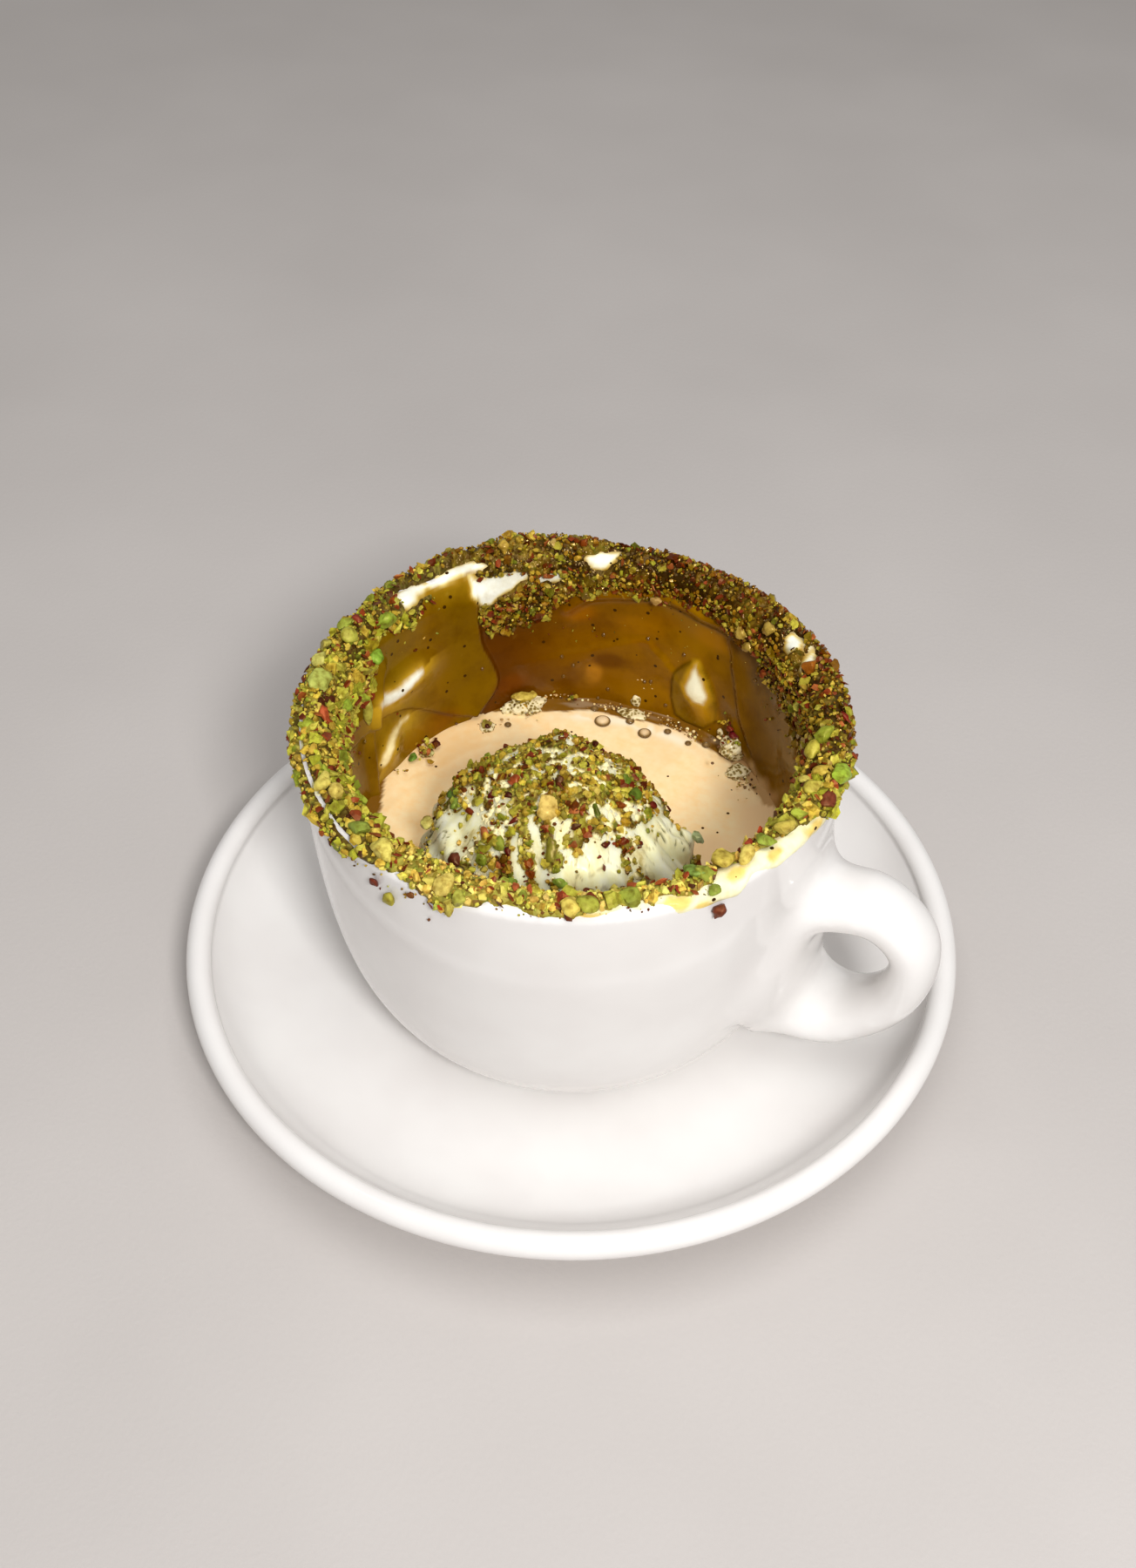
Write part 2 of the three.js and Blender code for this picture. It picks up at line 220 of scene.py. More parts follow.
porcelain_peel = add(porcelain, "ShaderNodeTexNoise", links={
    "Vector": porcelain_place.outputs["Object"], "Scale": 1 / orange_peel, "Detail": 1.0})
porcelain_bump = add(porcelain, "ShaderNodeBump", links={
    "Height": porcelain_peel.outputs["Fac"], "Strength": 0.12, "Distance": 0.06 * MM})
join(porcelain, porcelain_bump.outputs["Normal"], porcelain_shader, "Normal")


def curve(points, count):
    """count points on the cubic Bezier curve through four (radius, height) points in mm, or on
    the quadratic one through three."""
    knots = [Vector((x, y)) for x, y in points]
    if len(knots) == 3:
        start, pull, end = knots
        knots = [start, start.lerp(pull, 2 / 3), end.lerp(pull, 2 / 3), end]
    return [tuple(p) for p in geometry.interpolate_bezier(*knots, count)]


def arc(centre, size, start, end, count):
    """count points on an elliptical arc in mm, its angles in degrees."""
    angles = [math.radians(start + (end - start) * i / (count - 1)) for i in range(count)]
    return [(centre[0] + size[0] * math.cos(a), centre[1] + size[1] * math.sin(a)) for a in angles]


def turn(profile, steps):
    """A bmesh of the (radius, height) profile in mm turned about Z, closed at the axis."""
    bm = bmesh.new()
    line = [bm.verts.new((x * MM, 0.0, z * MM)) for x, z in profile]
    edges = [bm.edges.new(pair) for pair in zip(line, line[1:])]
    bmesh.ops.spin(bm, geom=line + edges, cent=(0, 0, 0), axis=(0, 0, 1),
                   angle=2 * math.pi, steps=steps, use_merge=True)
    bmesh.ops.remove_doubles(bm, verts=bm.verts, dist=0.001 * MM)
    bmesh.ops.recalc_face_normals(bm, faces=bm.faces)
    return bm


def to_mesh(bm, name):
    """The bmesh as a mesh, with the bmesh freed."""
    mesh = bpy.data.meshes.new(name)
    bm.to_mesh(mesh)
    bm.free()
    return mesh


saucer_radius = 80.0
saucer_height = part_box("saucer")[1].z / MM
lip_radius = 2.6
well_height = 4.4

saucer_profile = [  # from under the middle, over the foot ring and the lip, to the well
    (0.0, 1.4), (42.0, 1.4), (43.2, 1.3), (43.9, 0.6), (44.3, 0.1), (45.0, 0.0), (47.4, 0.0),
    (48.0, 0.15), (48.6, 0.9),
    *curve([(49.2, 1.4), (69.6, 3.7), (saucer_radius - 0.5, saucer_height - 4.13)], 24)[:-1],
    *arc((saucer_radius - lip_radius, saucer_height - lip_radius), (lip_radius, lip_radius),
         -36, 172, 20),
    *curve([(74.95, saucer_height - 2.9), (68.8, well_height), (52.0, well_height)], 32),
    *[(r, well_height) for r in (40.0, 26.0, 12.0, 0.0)],
]
saucer = piece("saucer_porcelain", to_mesh(turn(saucer_profile, 192), "saucer_porcelain"), porcelain)
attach(saucer, "root")
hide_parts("saucer")

# ----------------------------------------------------------------------------------------------
# Cup: the same porcelain, slip-cast, with a thick ear handle luted on and its joints sponged to
# wide soft hollows. The wall swells between the handle's roots.

cup_radius = 51.7
cup_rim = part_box("cup")[1].z / MM
cup_wall = 4.6
rim_rounding = 1.5
inner_radius = cup_radius - cup_wall
cup_floor = 11.3


def hollow(inset, count):
    """The inside of the cup's wall pulled in by inset, from the floor up to the upright part."""
    return curve([
        (14.0, cup_floor + inset), (42.9 - inset, cup_floor + inset),
        (inner_radius - inset, 26.7), (inner_radius - inset, 62.0),
    ], count)


cup_profile = [  # from under the middle, up the belly, over the rim and down to the floor
    (0.0, 5.4), (26.5, 5.4), (27.0, 4.7), (30.5, 4.7),
    *curve([(31.0, 5.4), (35.4, 5.4), (36.8, 6.7)], 6)[:-1],
    *curve([(36.8, 6.7), (45.8, 18.0), (50.7, 25.0), (cup_radius, cup_rim - rim_rounding)], 60)[:-1],
    *arc((cup_radius - cup_wall / 2, cup_rim - rim_rounding), (cup_wall / 2, rim_rounding), 0, 180, 17),
    (inner_radius, 70.0), (inner_radius, 66.0),
    *hollow(0.0, 40)[::-1],
    (0.0, cup_floor),
]


def through(points, steps):
    """A smooth line through the points, with steps places between one and the next."""
    knots = [Vector(p) for p in points]
    knots = [2 * knots[0] - knots[1], *knots, 2 * knots[-1] - knots[-2]]
    line = []
    for before, start, end, after in zip(knots, knots[1:], knots[2:], knots[3:]):
        line += geometry.interpolate_bezier(
            start, start + (end - before) / 6, end - (after - start) / 6, end, steps + 1)[:-1]
    return [*line, knots[-2]]


# The handle's middle line, out from the axis and up, and half its thickness and breadth there.
handle_line = through([
    (44.0, 47.0), (54.6, 51.0), (64.2, 52.1), (71.7, 44.2), (69.3, 30.0), (58.0, 20.2), (43.0, 22.6),
], 8)
handle_half = through([
    (6.5, 13.0), (5.2, 9.2), (4.9, 7.4), (4.7, 7.1), (4.7, 7.5), (4.5, 10.0), (7.2, 15.5),
], 8)

cup_form = turn(cup_profile, 144)
rings = []
last = len(handle_line) - 1
for i, (middle, half) in enumerate(zip(handle_line, handle_half)):
    ahead = (handle_line[min(i + 1, last)] - handle_line[max(i - 1, 0)]).normalized()
    place = Matrix((
        (-ahead.y * half.x, 0.0, ahead.x, middle.x),
        (0.0, half.y, 0.0, 0.0),
        (ahead.x * half.x, 0.0, ahead.y, middle.y),
    )).to_4x4()
    place = Matrix.Diagonal((MM, MM, MM, 1.0)) @ place
    ring = bmesh.ops.create_circle(cup_form, segments=32, radius=1.0, matrix=place,
                                   cap_ends=i in (0, last))["verts"]
    in_ring = set(ring)
    rings.append([e for e in cup_form.edges if e.verts[0] in in_ring and e.verts[1] in in_ring])
for near, far in zip(rings, rings[1:]):
    bmesh.ops.bridge_loops(cup_form, edges=near + far)
swelling_middle = Vector((45.0, 0.0, 37.0)) * MM
swelling_half = (8.2 * MM, 21.0 * MM, 20.0 * MM)
swelling = Matrix.Translation(swelling_middle) @ Matrix.Diagonal((*swelling_half, 1.0))
bmesh.ops.create_uvsphere(cup_form, u_segments=32, v_segments=20, radius=1.0, matrix=swelling)
bmesh.ops.recalc_face_normals(cup_form, faces=cup_form.faces)

rough_cup = bpy.data.objects.new("rough_cup", to_mesh(cup_form, "rough_cup"))
scene.collection.objects.link(rough_cup)
remesh = rough_cup.modifiers.new("one_body", "REMESH")
remesh.mode = "VOXEL"
remesh.voxel_size = 0.85 * MM
cup_mesh = bpy.data.meshes.new_from_object(
    rough_cup.evaluated_get(bpy.context.evaluated_depsgraph_get()))
bpy.data.objects.remove(rough_cup)


def eased(value, start, end):
    """0 below start, 1 above end, smooth between them. Works on arrays."""
    share = np.clip((value - start) / (end - start), 0.0, 1.0)
    return share * share * (3.0 - 2.0 * share)


def soften(bm, verts, rounds):
    """Smooths the vertices that many times over."""
    for _ in range(rounds):
        bmesh.ops.smooth_vert(bm, verts=verts, factor=0.5, use_axis_x=True, use_axis_y=True,
                              use_axis_z=True)


# The whole handle is sponged smooth, and then its roots in regions that draw in step by step, so
# that the hollows run out into the wall. After that the body goes back to its turned form.
joints = bmesh.new()
joints.from_mesh(cup_mesh)
sponged = [v for v in joints.verts if v.co.x > 46 * MM and abs(v.co.y) < 24 * MM and v.co.z < 62 * MM]
root_regions = []
for i in range(6):
    out_to, aside, lowest = 60.0 - 1.5 * i, 28.0 - 0.5 * i, max(7.0 + i, 6.5 + 1.5 * i)
    root_regions.append([
        v for v in joints.verts
        if math.hypot(v.co.x, v.co.y) > 47.6 * MM and 0 < v.co.x < out_to * MM
        and abs(v.co.y) < aside * MM and lowest * MM < v.co.z < 64 * MM])
soften(joints, sponged, 20)
for region in root_regions:
    soften(joints, region, 16)
joints.to_mesh(cup_mesh)
joints.free()

# The joints reach 22 mm to either side, and from 10 to 61 mm up.
form_step = 0.05  # mm between places on the turned form
blend_reach = 5.0  # mm over which the handle's joints pass into it
turned_form = []
for (x0, z0), (x1, z1) in zip(cup_profile, cup_profile[1:]):
    count = max(2, int(math.hypot(x1 - x0, z1 - z0) / form_step))
    turned_form += [(x0 + (x1 - x0) * i / count, z0 + (z1 - z0) * i / count) for i in range(count)]
form_tree = KDTree(len(turned_form))
for i, (x, z) in enumerate(turned_form):
    form_tree.insert((x, 0.0, z), i)
form_tree.balance()
for vert in cup_mesh.vertices:
    radius = math.hypot(vert.co.x, vert.co.y) / MM
    height = vert.co.z / MM
    past_joints = max(abs(vert.co.y) / MM - 22.0, height - 61.0, 10.0 - height, 0.0)
    if vert.co.x < 0 or radius < cup_radius - 4.0:
        past_joints = blend_reach
    share = float(eased(past_joints, 0.0, blend_reach))
    if share > 0.0:
        nearest = form_tree.find((radius, 0.0, height))[0]
        new_radius = radius + (nearest.x - radius) * share
        scale = new_radius / radius if radius > 1e-6 else 1.0
        vert.co = (vert.co.x * scale, vert.co.y * scale, (height + (nearest.z - height) * share) * MM)
cup = piece("cup_porcelain", cup_mesh, porcelain)
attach(cup, "root")
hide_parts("cup")

# ----------------------------------------------------------------------------------------------
# Pistachio cream: a glossy nut paste drawn round the inside of the cup and over its rim with a
# palette knife, which left rolls, laps and runs. Hot coffee has browned it at the back.

coffee_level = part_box("coffee")[1].z / MM
cream_thickness = 2.1
wall_scale = math.radians(inner_radius)  # mm to a degree round the inside of the wall

# The cup's glazed surface from outside the rim, over it and down to the floor. Places on it are
# u mm along it, with 0 at the outer edge of the rim and about 6 at the inner one.
rim_edge = cup_rim - rim_rounding
below_rim = 12.0
hollow_places = 80
rim_line = [
    (cup_radius, rim_edge - below_rim),
    *arc((cup_radius - cup_wall / 2, rim_edge), (cup_wall / 2, rim_rounding), 0, 180, 25),
    *hollow(0.0, hollow_places)[::-1],
]
line_radius, line_height = np.array(rim_line).T
line_steps = np.hypot(np.diff(line_radius), np.diff(line_height))
line_run = np.concatenate([[0.0], np.cumsum(line_steps)]) - below_rim


def on_cup(u):
    """Radius, height and outward normal (in radius and height) at u mm along the rim line."""
    near = 0.15  # mm to either side, for the slope
    ahead, behind = u + near, u - near
    across = np.interp(ahead, line_run, line_radius) - np.interp(behind, line_run, line_radius)
    upward = np.interp(ahead, line_run, line_height) - np.interp(behind, line_run, line_height)
    length = np.hypot(across, upward) + 1e-9
    return (np.interp(u, line_run, line_radius), np.interp(u, line_run, line_height),
            upward / length, -across / length)


def clouds(points, size, shift=0.0):
    """Smooth noise of about -0.5 to 0.5 at points in mm, with size mm from swell to swell."""
    offset = Vector((shift, 2.0 * shift, -shift))
    return np.array([noise.noise(Vector(p) / size + offset) for p in points])


def beside(azimuth, height, line):
    """Signed distance in mm on the cup's wall from a smooth line of (degrees round, height)
    points, and how far along it from 0 to 1. The distance is positive on the left of the line's
    direction as seen from inside."""
    knots = np.array([tuple(p) for p in through([(-a * wall_scale, z) for a, z in line], 14)])
    run = np.gradient(knots, axis=0)
    best = np.full(len(azimuth), 1e9)
    side = np.ones(len(azimuth))
    along = np.zeros(len(azimuth))
    for i, ((x, z), (dx, dz)) in enumerate(zip(knots, run)):
        off_x, off_z = -azimuth * wall_scale - x, height - z
        distance = np.hypot(off_x, off_z)
        closer = distance < best
        best = np.where(closer, distance, best)
        side = np.where(closer, np.sign(dx * off_z - dz * off_x), side)
        along = np.where(closer, i / (len(knots) - 1), along)
    return best * side, along


def inside(across, up_from, outline):
    """Signed distance in mm of places (across, up_from) from the edge of an outline of such
    places, positive inside it."""
    best = np.full(len(across), 1e9)
    within = np.zeros(len(across), bool)
    for (x0, y0), (x1, y1) in zip(outline, [*outline[1:], outline[0]]):
        dx, dy = x1 - x0, y1 - y0
        along = np.clip(((across - x0) * dx + (up_from - y0) * dy) / (dx * dx + dy * dy), 0.0, 1.0)
        best = np.minimum(best, np.hypot(across - x0 - along * dx, up_from - y0 - along * dy))
        if dy:
            within ^= ((y0 > up_from) != (y1 > up_from)) & (across < x0 + (up_from - y0) / dy * dx)
    return np.where(within, best, -best)


def bump(azimuth, height, centre, size):
    """A smooth swelling of 1 at centre (degrees round, height), with half sizes in mm."""
    off = (azimuth - centre[0]) * wall_scale
    return np.exp(-(off / size[0]) ** 2 - ((height - centre[1]) / size[1]) ** 2)


cream_rolls = [  # line, rise, half width; lines and places are in degrees round and mm of height
    ([(187, 37), (185, 46), (182, 55), (179, 61), (175, 66)], 1.5, 1.3),
    ([(118, 64), (111, 67.4), (101, 69), (92, 70.3), (84, 70), (79, 69), (72, 69)], 1.0, 1.5),
    ([(66, 46), (58, 41), (50, 38)], 0.8, 1.2),
]
cream_laps = [  # line of the crisp edge, rise on its left side, mm to the far side of the lap
    ([(184, 55), (176, 54), (169, 52), (163, 49), (154, 43.5), (145, 40)], 1.3, 7.0),
    ([(147, 39.0), (144, 41), (139.8, 44), (137.8, 47.5), (139.0, 52), (141.4, 57), (142.4, 62),
      (143, 74)], 0.9, 12.0),
    ([(90, 53.4), (91.2, 54.3), (93.8, 56), (96.4, 57.7), (106, 54.9), (113, 53.1), (120, 52)],
     0.6, 5.0),
    ([(69, 60), (64, 50), (58, 44), (47, 36)], 0.7, 6.0),
]
cream_swells = [  # centre, half sizes, rise
    ((168, 58.5), (8.0, 3.4), 2.4), ((176, 45.5), (4.0, 5.0), 2.2), ((80, 48.3), (4.2, 6.0), 1.6),
    ((120, 48.0), (9.0, 7.0), 0.5),
]
leaf = [(a * wall_scale, z) for a, z in [  # a flake of cream on the right, in mm round and height
    (80.7, 57.2), (84.6, 54.4), (87.2, 51.5), (87.9, 48.1), (87.6, 44.5), (85.8, 40.4), (82.1, 39.3),
    (76.4, 40.0), (73.2, 43.0), (72.8, 47.3), (74.2, 50.9), (77.0, 54.8)]]


def cream_depth(azimuth, height, points):
    """Thickness in mm of the cream on the wall."""
    depth = cream_thickness + 0.8 * clouds(points, 15.0) + 0.35 * clouds(points, 6.0, 3.0)
    for line, rise, half in cream_rolls:
        depth += rise * np.exp(-(beside(azimuth, height, line)[0] / half) ** 2)
    for line, rise, fade in cream_laps:
        off = beside(azimuth, height, line)[0]
        depth += rise * np.where(off > 0, np.exp(-off / fade), np.exp(-(off / 0.5) ** 2))
    for centre, size, rise in cream_swells:
        depth += rise * bump(azimuth, height, centre, size)
    return depth + 0.5 * eased(inside(azimuth * wall_scale, height, leaf), -0.4, 0.5)


def round_the_rim(azimuth, stops):
    """A value that varies smoothly round the cup through (degrees, value) stops."""
    at, values = np.array(stops, float).T
    return np.interp(azimuth % 360.0, at, values, period=360.0)


def degrees_off(azimuth, centre):
    """Degrees from centre to azimuth, from -180 to 180."""
    return (azimuth - centre + 180.0) % 360.0 - 180.0


def band(steps, places):
    """A closed band round the cup, with a row of steps vertices for each of the places. Returns
    the bmesh and each vertex's degrees round and row."""
    bm = bmesh.new()
    bmesh.ops.create_grid(bm, x_segments=steps, y_segments=places - 1, size=0.5)
    bm.verts.ensure_lookup_table()
    turned = np.array([(v.co.x + 0.5) * 360.0 for v in bm.verts])
    rows = np.array([round((v.co.y + 0.5) * (places - 1)) for v in bm.verts])
    return bm, turned, rows


def round_at(azimuth, radius, height):
    """Places in mm at degrees round the cup, a radius and a height."""
    angle = np.radians(azimuth)
    return np.stack([radius * np.cos(angle), radius * np.sin(angle), height], axis=1)


def put(bm, places):
    """Moves the vertices to places in mm."""
    for vert, place in zip(bm.verts, places):
        vert.co = Vector(place) * MM


def put_round(bm, azimuth, radius, height):
    """Moves the vertices to degrees round the cup, radii and heights in mm."""
    for vert, place in zip(bm.verts, round_at(azimuth, radius, height) * MM):
        vert.co = place


def store(bm, name, values):
    """Keeps a value, or a colour with its alpha, for each vertex under a name."""
    layers = bm.verts.layers.float_color if np.ndim(values) == 2 else bm.verts.layers.float
    layer = layers.new(name)
    for vert, value in zip(bm.verts, values):
        vert[layer] = value


def close_up(bm, capped=False):
    """Joins the band's two ends, and caps its open rows if they aren't joined as well."""
    bmesh.ops.remove_doubles(bm, verts=bm.verts, dist=0.004 * MM)
    bmesh.ops.recalc_face_normals(bm, faces=bm.faces)
    if capped:
        bmesh.ops.holes_fill(bm, edges=[e for e in bm.edges if e.is_boundary])
        bmesh.ops.recalc_face_normals(bm, faces=bm.faces)


# Rows run up outside the rim, over it and down to the floor, and back up inside the porcelain.
shown_side = [*np.arange(-5.0, 42.0, 0.5), *np.linspace(44.0, line_run[-1] - 0.5, 12)]
hidden_side = np.linspace(line_run[-1] - 0.5, -5.0, 12)
cream_u = np.array([*shown_side, *hidden_side])
cream_bm, turned, rows = band(640, len(cream_u))
u = cream_u[rows]
radius, height, out_r, out_z = on_cup(u)
points = round_at(turned, radius, height)

# Over the rim the cream is a thin smear, with thick runs at the front and the right.
smear_edge = round_the_rim(turned, [
    (0, -1.6), (20, -0.4), (60, 1.0), (200, 1.5), (255, 2.0), (285, 2.4), (300, 1.2), (312, 1.4),
    (322, -0.6), (329, -2.6), (333, -0.4), (345, -1.8),
]) + 2.2 * clouds(points, 5.0, 7.0)
sunk = -0.4  # mm into the porcelain, for what doesn't show
on_rim = (0.5 + 0.7 * clouds(points, 4.0, 5.0)) * eased(u, smear_edge, smear_edge + 1.3) - 0.12
depth = on_rim + (cream_depth(turned, height, points) - on_rim) * eased(u, 4.0, 10.0)
depth = np.where((rows == 0) | (rows >= len(shown_side) - 1), sunk, depth)
put_round(cream_bm, turned, radius + out_r * depth, height + out_z * depth)

# The cream's colour goes from brown at the back to olive left of the lap's edge. It is pale over the
# white rim, and has painted highlights on the left, on the flake and in the bare patches, and
# painted shade in the crease under the back roll.
browned = [  # degrees round, colour
    (0, "#785402"), (43, "#8a6200"), (50, "#7c5600"), (60, "#6c4800"), (70, "#7a5200"), (80, "#946600"),
    (90, "#8c5e00"), (100, "#865800"), (110, "#7e5000"), (120, "#744800"), (128, "#663a00"),
    (136, "#5c3000"), (145, "#5c3000"), (220, "#725002"),
]
unbrowned = [  # left of the lap's edge
    (0, "#6e4c04"), (120, "#7a5800"), (150, "#785500"), (157, "#7e5702"), (163, "#845f04"),
    (170, "#7c5c04"), (181, "#7c5804"), (191, "#7a5604"), (205, "#745204"), (300, "#7a5a04"),
]


def stops_round(azimuth, stops):
    """Linear colours that vary smoothly round the cup through (degrees, hex colour) stops."""
    tones = np.array([linear(colour)[:3] for _, colour in stops])
    return np.stack([round_the_rim(azimuth, [(a, v) for (a, _), v in zip(stops, tones[:, i])])
                     for i in range(3)], axis=1)


def tinted(colours, share, colour):
    """The colours with a share from 0 to 1 of a hex colour laid over them."""
    return colours + (np.array(linear(colour)[:3]) - colours) * np.clip(share, 0.0, 1.0)[:, None]


lap_edge = beside(turned, height, cream_laps[1][0])[0]
shift = 2.5 * clouds(points, 6.0, 41.0)
tones = stops_round(turned + shift, browned)
left_tones = stops_round(turned + shift, unbrowned)
is_left = eased(lap_edge, -0.15, 0.35) * (turned > 100)
tones = tones + (left_tones - tones) * is_left[:, None]
for centre, size, colour, strength in [  # thin and thick places, with half sizes in mm
    ((114.5, 62.6), (4.0, 2.4), "#9c6000", 0.9), ((110.2, 47.0), (1.9, 3.4), "#b87c1c", 0.7),
    ((111.4, 45.0), (1.6, 1.6), "#a87414", 0.4), ((98, 61), (6.5, 2.6), "#966200", 0.9),
    ((96, 57), (4.0, 1.2), "#8e5a00", 0.7), ((77, 64), (5.0, 2.6), "#a26c04", 0.9),
    ((134, 45), (4.5, 2.6), "#703600", 0.6), ((106, 50.5), (4.5, 2.4), "#5a3000", 0.8),
    ((157, 42), (6.0, 3.0), "#7c4a00", 0.8), ((167, 42), (4.5, 3.6), "#8c5a02", 0.8),
    ((92, 64), (5.0, 2.0), "#8a5800", 0.8),
]:
    tones = tinted(tones, strength * eased(bump(turned, height, centre, size), 0.1, 0.8), colour)
leaf_in = inside(turned * wall_scale, height, leaf)
tones = tinted(tones, 0.8 * eased(leaf_in, -0.3, 0.2), "#80600a")
tones = tinted(tones, 0.5 * np.exp(-(leaf_in / 0.35) ** 2), "#3e2600")  # the flake's dark edge
tones = tinted(tones, bump(turned, height, (76.8, 44.5), (2.6, 3.0)), "#b8860e")
# Painted highlights: pale blades of glint on the left wall, each with a gold halo spread mostly to one
# side.
for highlight_blade, widest, narrow, colour, highlight_halo in [  # pale blades: line, half width at its start and end
    ([(178.4, 59.2), (173.7, 58.2), (170, 58.6), (166.5, 59.2), (162.5, 59.6)], 1.5, 0.5,
     "#fffff0", "#dcae2c"),
    ([(180.2, 43.6), (177.3, 46.8), (174.6, 48.0), (171.2, 48.3), (167.0, 48.2)], 1.0, 0.3,
     "#fff0b8", "#c8a028"),
]:
    off, along = beside(turned, height, highlight_blade)
    beyond = np.abs(off) - (widest + (narrow - widest) * along)
    spread = np.where(off < 0, 4.2, 1.0)
    tones = tinted(tones, 0.85 * np.exp(-(np.maximum(beyond, 0.0) / spread) ** 1.5), highlight_halo)
    tones = tinted(tones, eased(-beyond + 0.35 * clouds(points, 1.6, 43.0), -0.6, 0.6), colour)
flake_highlight = [(a * wall_scale, z) for a, z in [  # where the flake's painted highlight lies
    (80.6, 56.5), (78.8, 54.3), (76.9, 52.2), (75.1, 49.3), (76.4, 46.8), (79.9, 46.5), (82.2, 47.8),
    (83.4, 49.5), (81.8, 53.8)]]
# Painted highlight: a gold rim round a near-white core, laid into the flake's colour.
lit = inside(turned * wall_scale, height, flake_highlight) + 0.4 * clouds(points, 1.6, 43.0)
tones = tinted(tones, 0.9 * eased(lit, -1.7, 0.0), "#c89a1c")
tones = tinted(tones, eased(lit, -0.2, 1.3), "#fffde0")
off, along = beside(turned, height, [  # painted shade along the crease under the roll at the back
    (111, 66.2), (101.6, 67.7), (92, 68.9), (82.9, 67.5), (73.1, 67.3), (68.5, 67.8)])
tones = tinted(tones, 0.6 * np.exp(-(off / 0.6) ** 2) * eased(along, 0.1, 0.4), "#2e1a00")
coffee_mark = eased(height + 2.0 * clouds(points, 3.0, 61.0), 42.5, 39.5)
coffee_mark = coffee_mark * eased(turned, 66.0, 60.0) * eased(turned, 38.0, 44.0)
tones = tinted(tones, coffee_mark, "#cfa874")  # coffee left on the wall at the right
over_rim = 1.0 - eased(u + 1.2 * clouds(points, 2.6, 45.0), 2.6, 5.6)
tones = tinted(tones, 0.7 * (1.0 - eased(u, 5.0, 10.0)), "#94700e")
tones = tinted(tones, over_rim, "#fffbd0")
for azimuth, along, half_round, half_along in [  # thicker, yellow spots: degrees round, u, half sizes
    (331, 2.6, 3.0, 1.4), (317, 1.4, 3.2, 1.6), (322, -0.6, 2.0, 1.6), (340, 1.8, 2.4, 1.0),
    (300, 1.0, 3.0, 1.2), (352, 0.4, 3.4, 1.2),
]:
    off = degrees_off(turned, azimuth) * wall_scale
    spot = np.exp(-(off / half_round) ** 2 - ((u - along) / half_along) ** 2)
    tones = tinted(tones, 0.8 * eased(spot + 0.4 * clouds(points, 2.0, 47.0), 0.3, 0.8), "#f2cc54")
highlit_bare_patches = [  # outlines in degrees round and u: pale thin cream left bare among the nuts, with a painted highlight
    [(163.5, 3.4), (163, 6.0), (160, 5.8), (155, 5.1), (148, 5.2), (142, 5.2), (137.5, 4.8), (139, 4.0),
     (142.5, 2.7), (149, 3.4), (154, 3.8), (160, 2.6)],
    [(143.2, 5.6), (143.6, 8.2), (141, 12.0), (138.5, 12.6), (136, 10.6), (133, 10.0), (130, 8.6),
     (127.5, 7.8), (128.5, 6.6), (134, 6.4), (139, 6.4)],
    [(125.5, 7.6), (119.5, 7.2), (119.0, 9.2), (125, 9.2)],
    [(113, 5.0), (109, 3.4), (105, 3.6), (105.2, 4.9), (109, 6.6), (111, 6.4)],
    [(54, 5.2), (54, 3.3), (50, 3.0), (48, 4.6), (50, 6.2), (52.4, 6.2)],
    [(45.2, 4.8), (46.4, 3.8), (48, 2.0), (43.2, 3.2), (41, 6.2), (44, 6.6)],
]
# Each bare patch has a gold and yellow edge round a near-white painted highlight.
for outline in highlit_bare_patches:
    off = inside(turned * wall_scale, u, [(a * wall_scale, along) for a, along in outline])
    off = off + 0.5 * clouds(points, 1.8, 49.0) - 0.3 * (outline[0][0] < 100)
    tones = tinted(tones, 0.9 * eased(off, -1.4, -0.1), "#a87c1a")
    tones = tinted(tones, 0.9 * eased(off, -0.5, 0.2), "#f6e088")
    tones = tinted(tones, eased(off, -0.1, 0.6), "#fffff0")
store(cream_bm, "cream_colour", np.column_stack([tones, np.ones(len(tones))]))
close_up(cream_bm)

mottle_size = MM / 0.17  # the paste is mottled every 5.9 mm
ground_size = MM / 0.7  # and grainy every 1.4 mm
skin_spacing = MM / 0.43  # ground skins show as dark specks up to 0.8 mm across, in cells of 2.3 mm
skin_reach, skin_share = 0.17, 0.34  # a speck's radius in its cell, and the share of cells with one

# Oily nut paste: a wet, gold-tinted shine, and dark specks of ground skin.
paste, paste_shader = surface("pistachio_cream", {
    "IOR": 1.23, "Roughness": 0.12, "Specular Tint": linear("#ffd890")})
paste_place = add(paste, "ShaderNodeTexCoord")
paste_tones = add(paste, "ShaderNodeAttribute", {"attribute_name": "cream_colour"})
paste_cloud = add(paste, "ShaderNodeTexNoise", links={
    "Vector": paste_place.outputs["Object"], "Scale": 1 / mottle_size, "Detail": 4.0,
    "Roughness": 0.6})
paste_mottle = add(paste, "ShaderNodeValToRGB", links={"Fac": paste_cloud.outputs["Fac"]}, stops=[
    (0.30, "#e0d8c8"), (0.55, "#ffffff")])
paste_all = add(paste, "ShaderNodeMix", {"data_type": "RGBA", "blend_type": "MULTIPLY"}, {
    "Factor": 1.0, 6: paste_tones.outputs["Color"], 7: paste_mottle.outputs["Color"]})
paste_cells = add(paste, "ShaderNodeTexVoronoi", links={
    "Vector": paste_place.outputs["Object"], "Scale": 1 / skin_spacing})
paste_near = add(paste, "ShaderNodeMath", {"operation": "LESS_THAN"}, {
    0: paste_cells.outputs["Distance"], 1: skin_reach})
paste_pick = add(paste, "ShaderNodeSeparateColor", links={"Color": paste_cells.outputs["Color"]})
paste_few = add(paste, "ShaderNodeMath", {"operation": "LESS_THAN"}, {
    0: paste_pick.outputs["Red"], 1: skin_share})
paste_speck = add(paste, "ShaderNodeMath", {"operation": "MULTIPLY"}, {
    0: paste_near.outputs[0], 1: paste_few.outputs[0]})
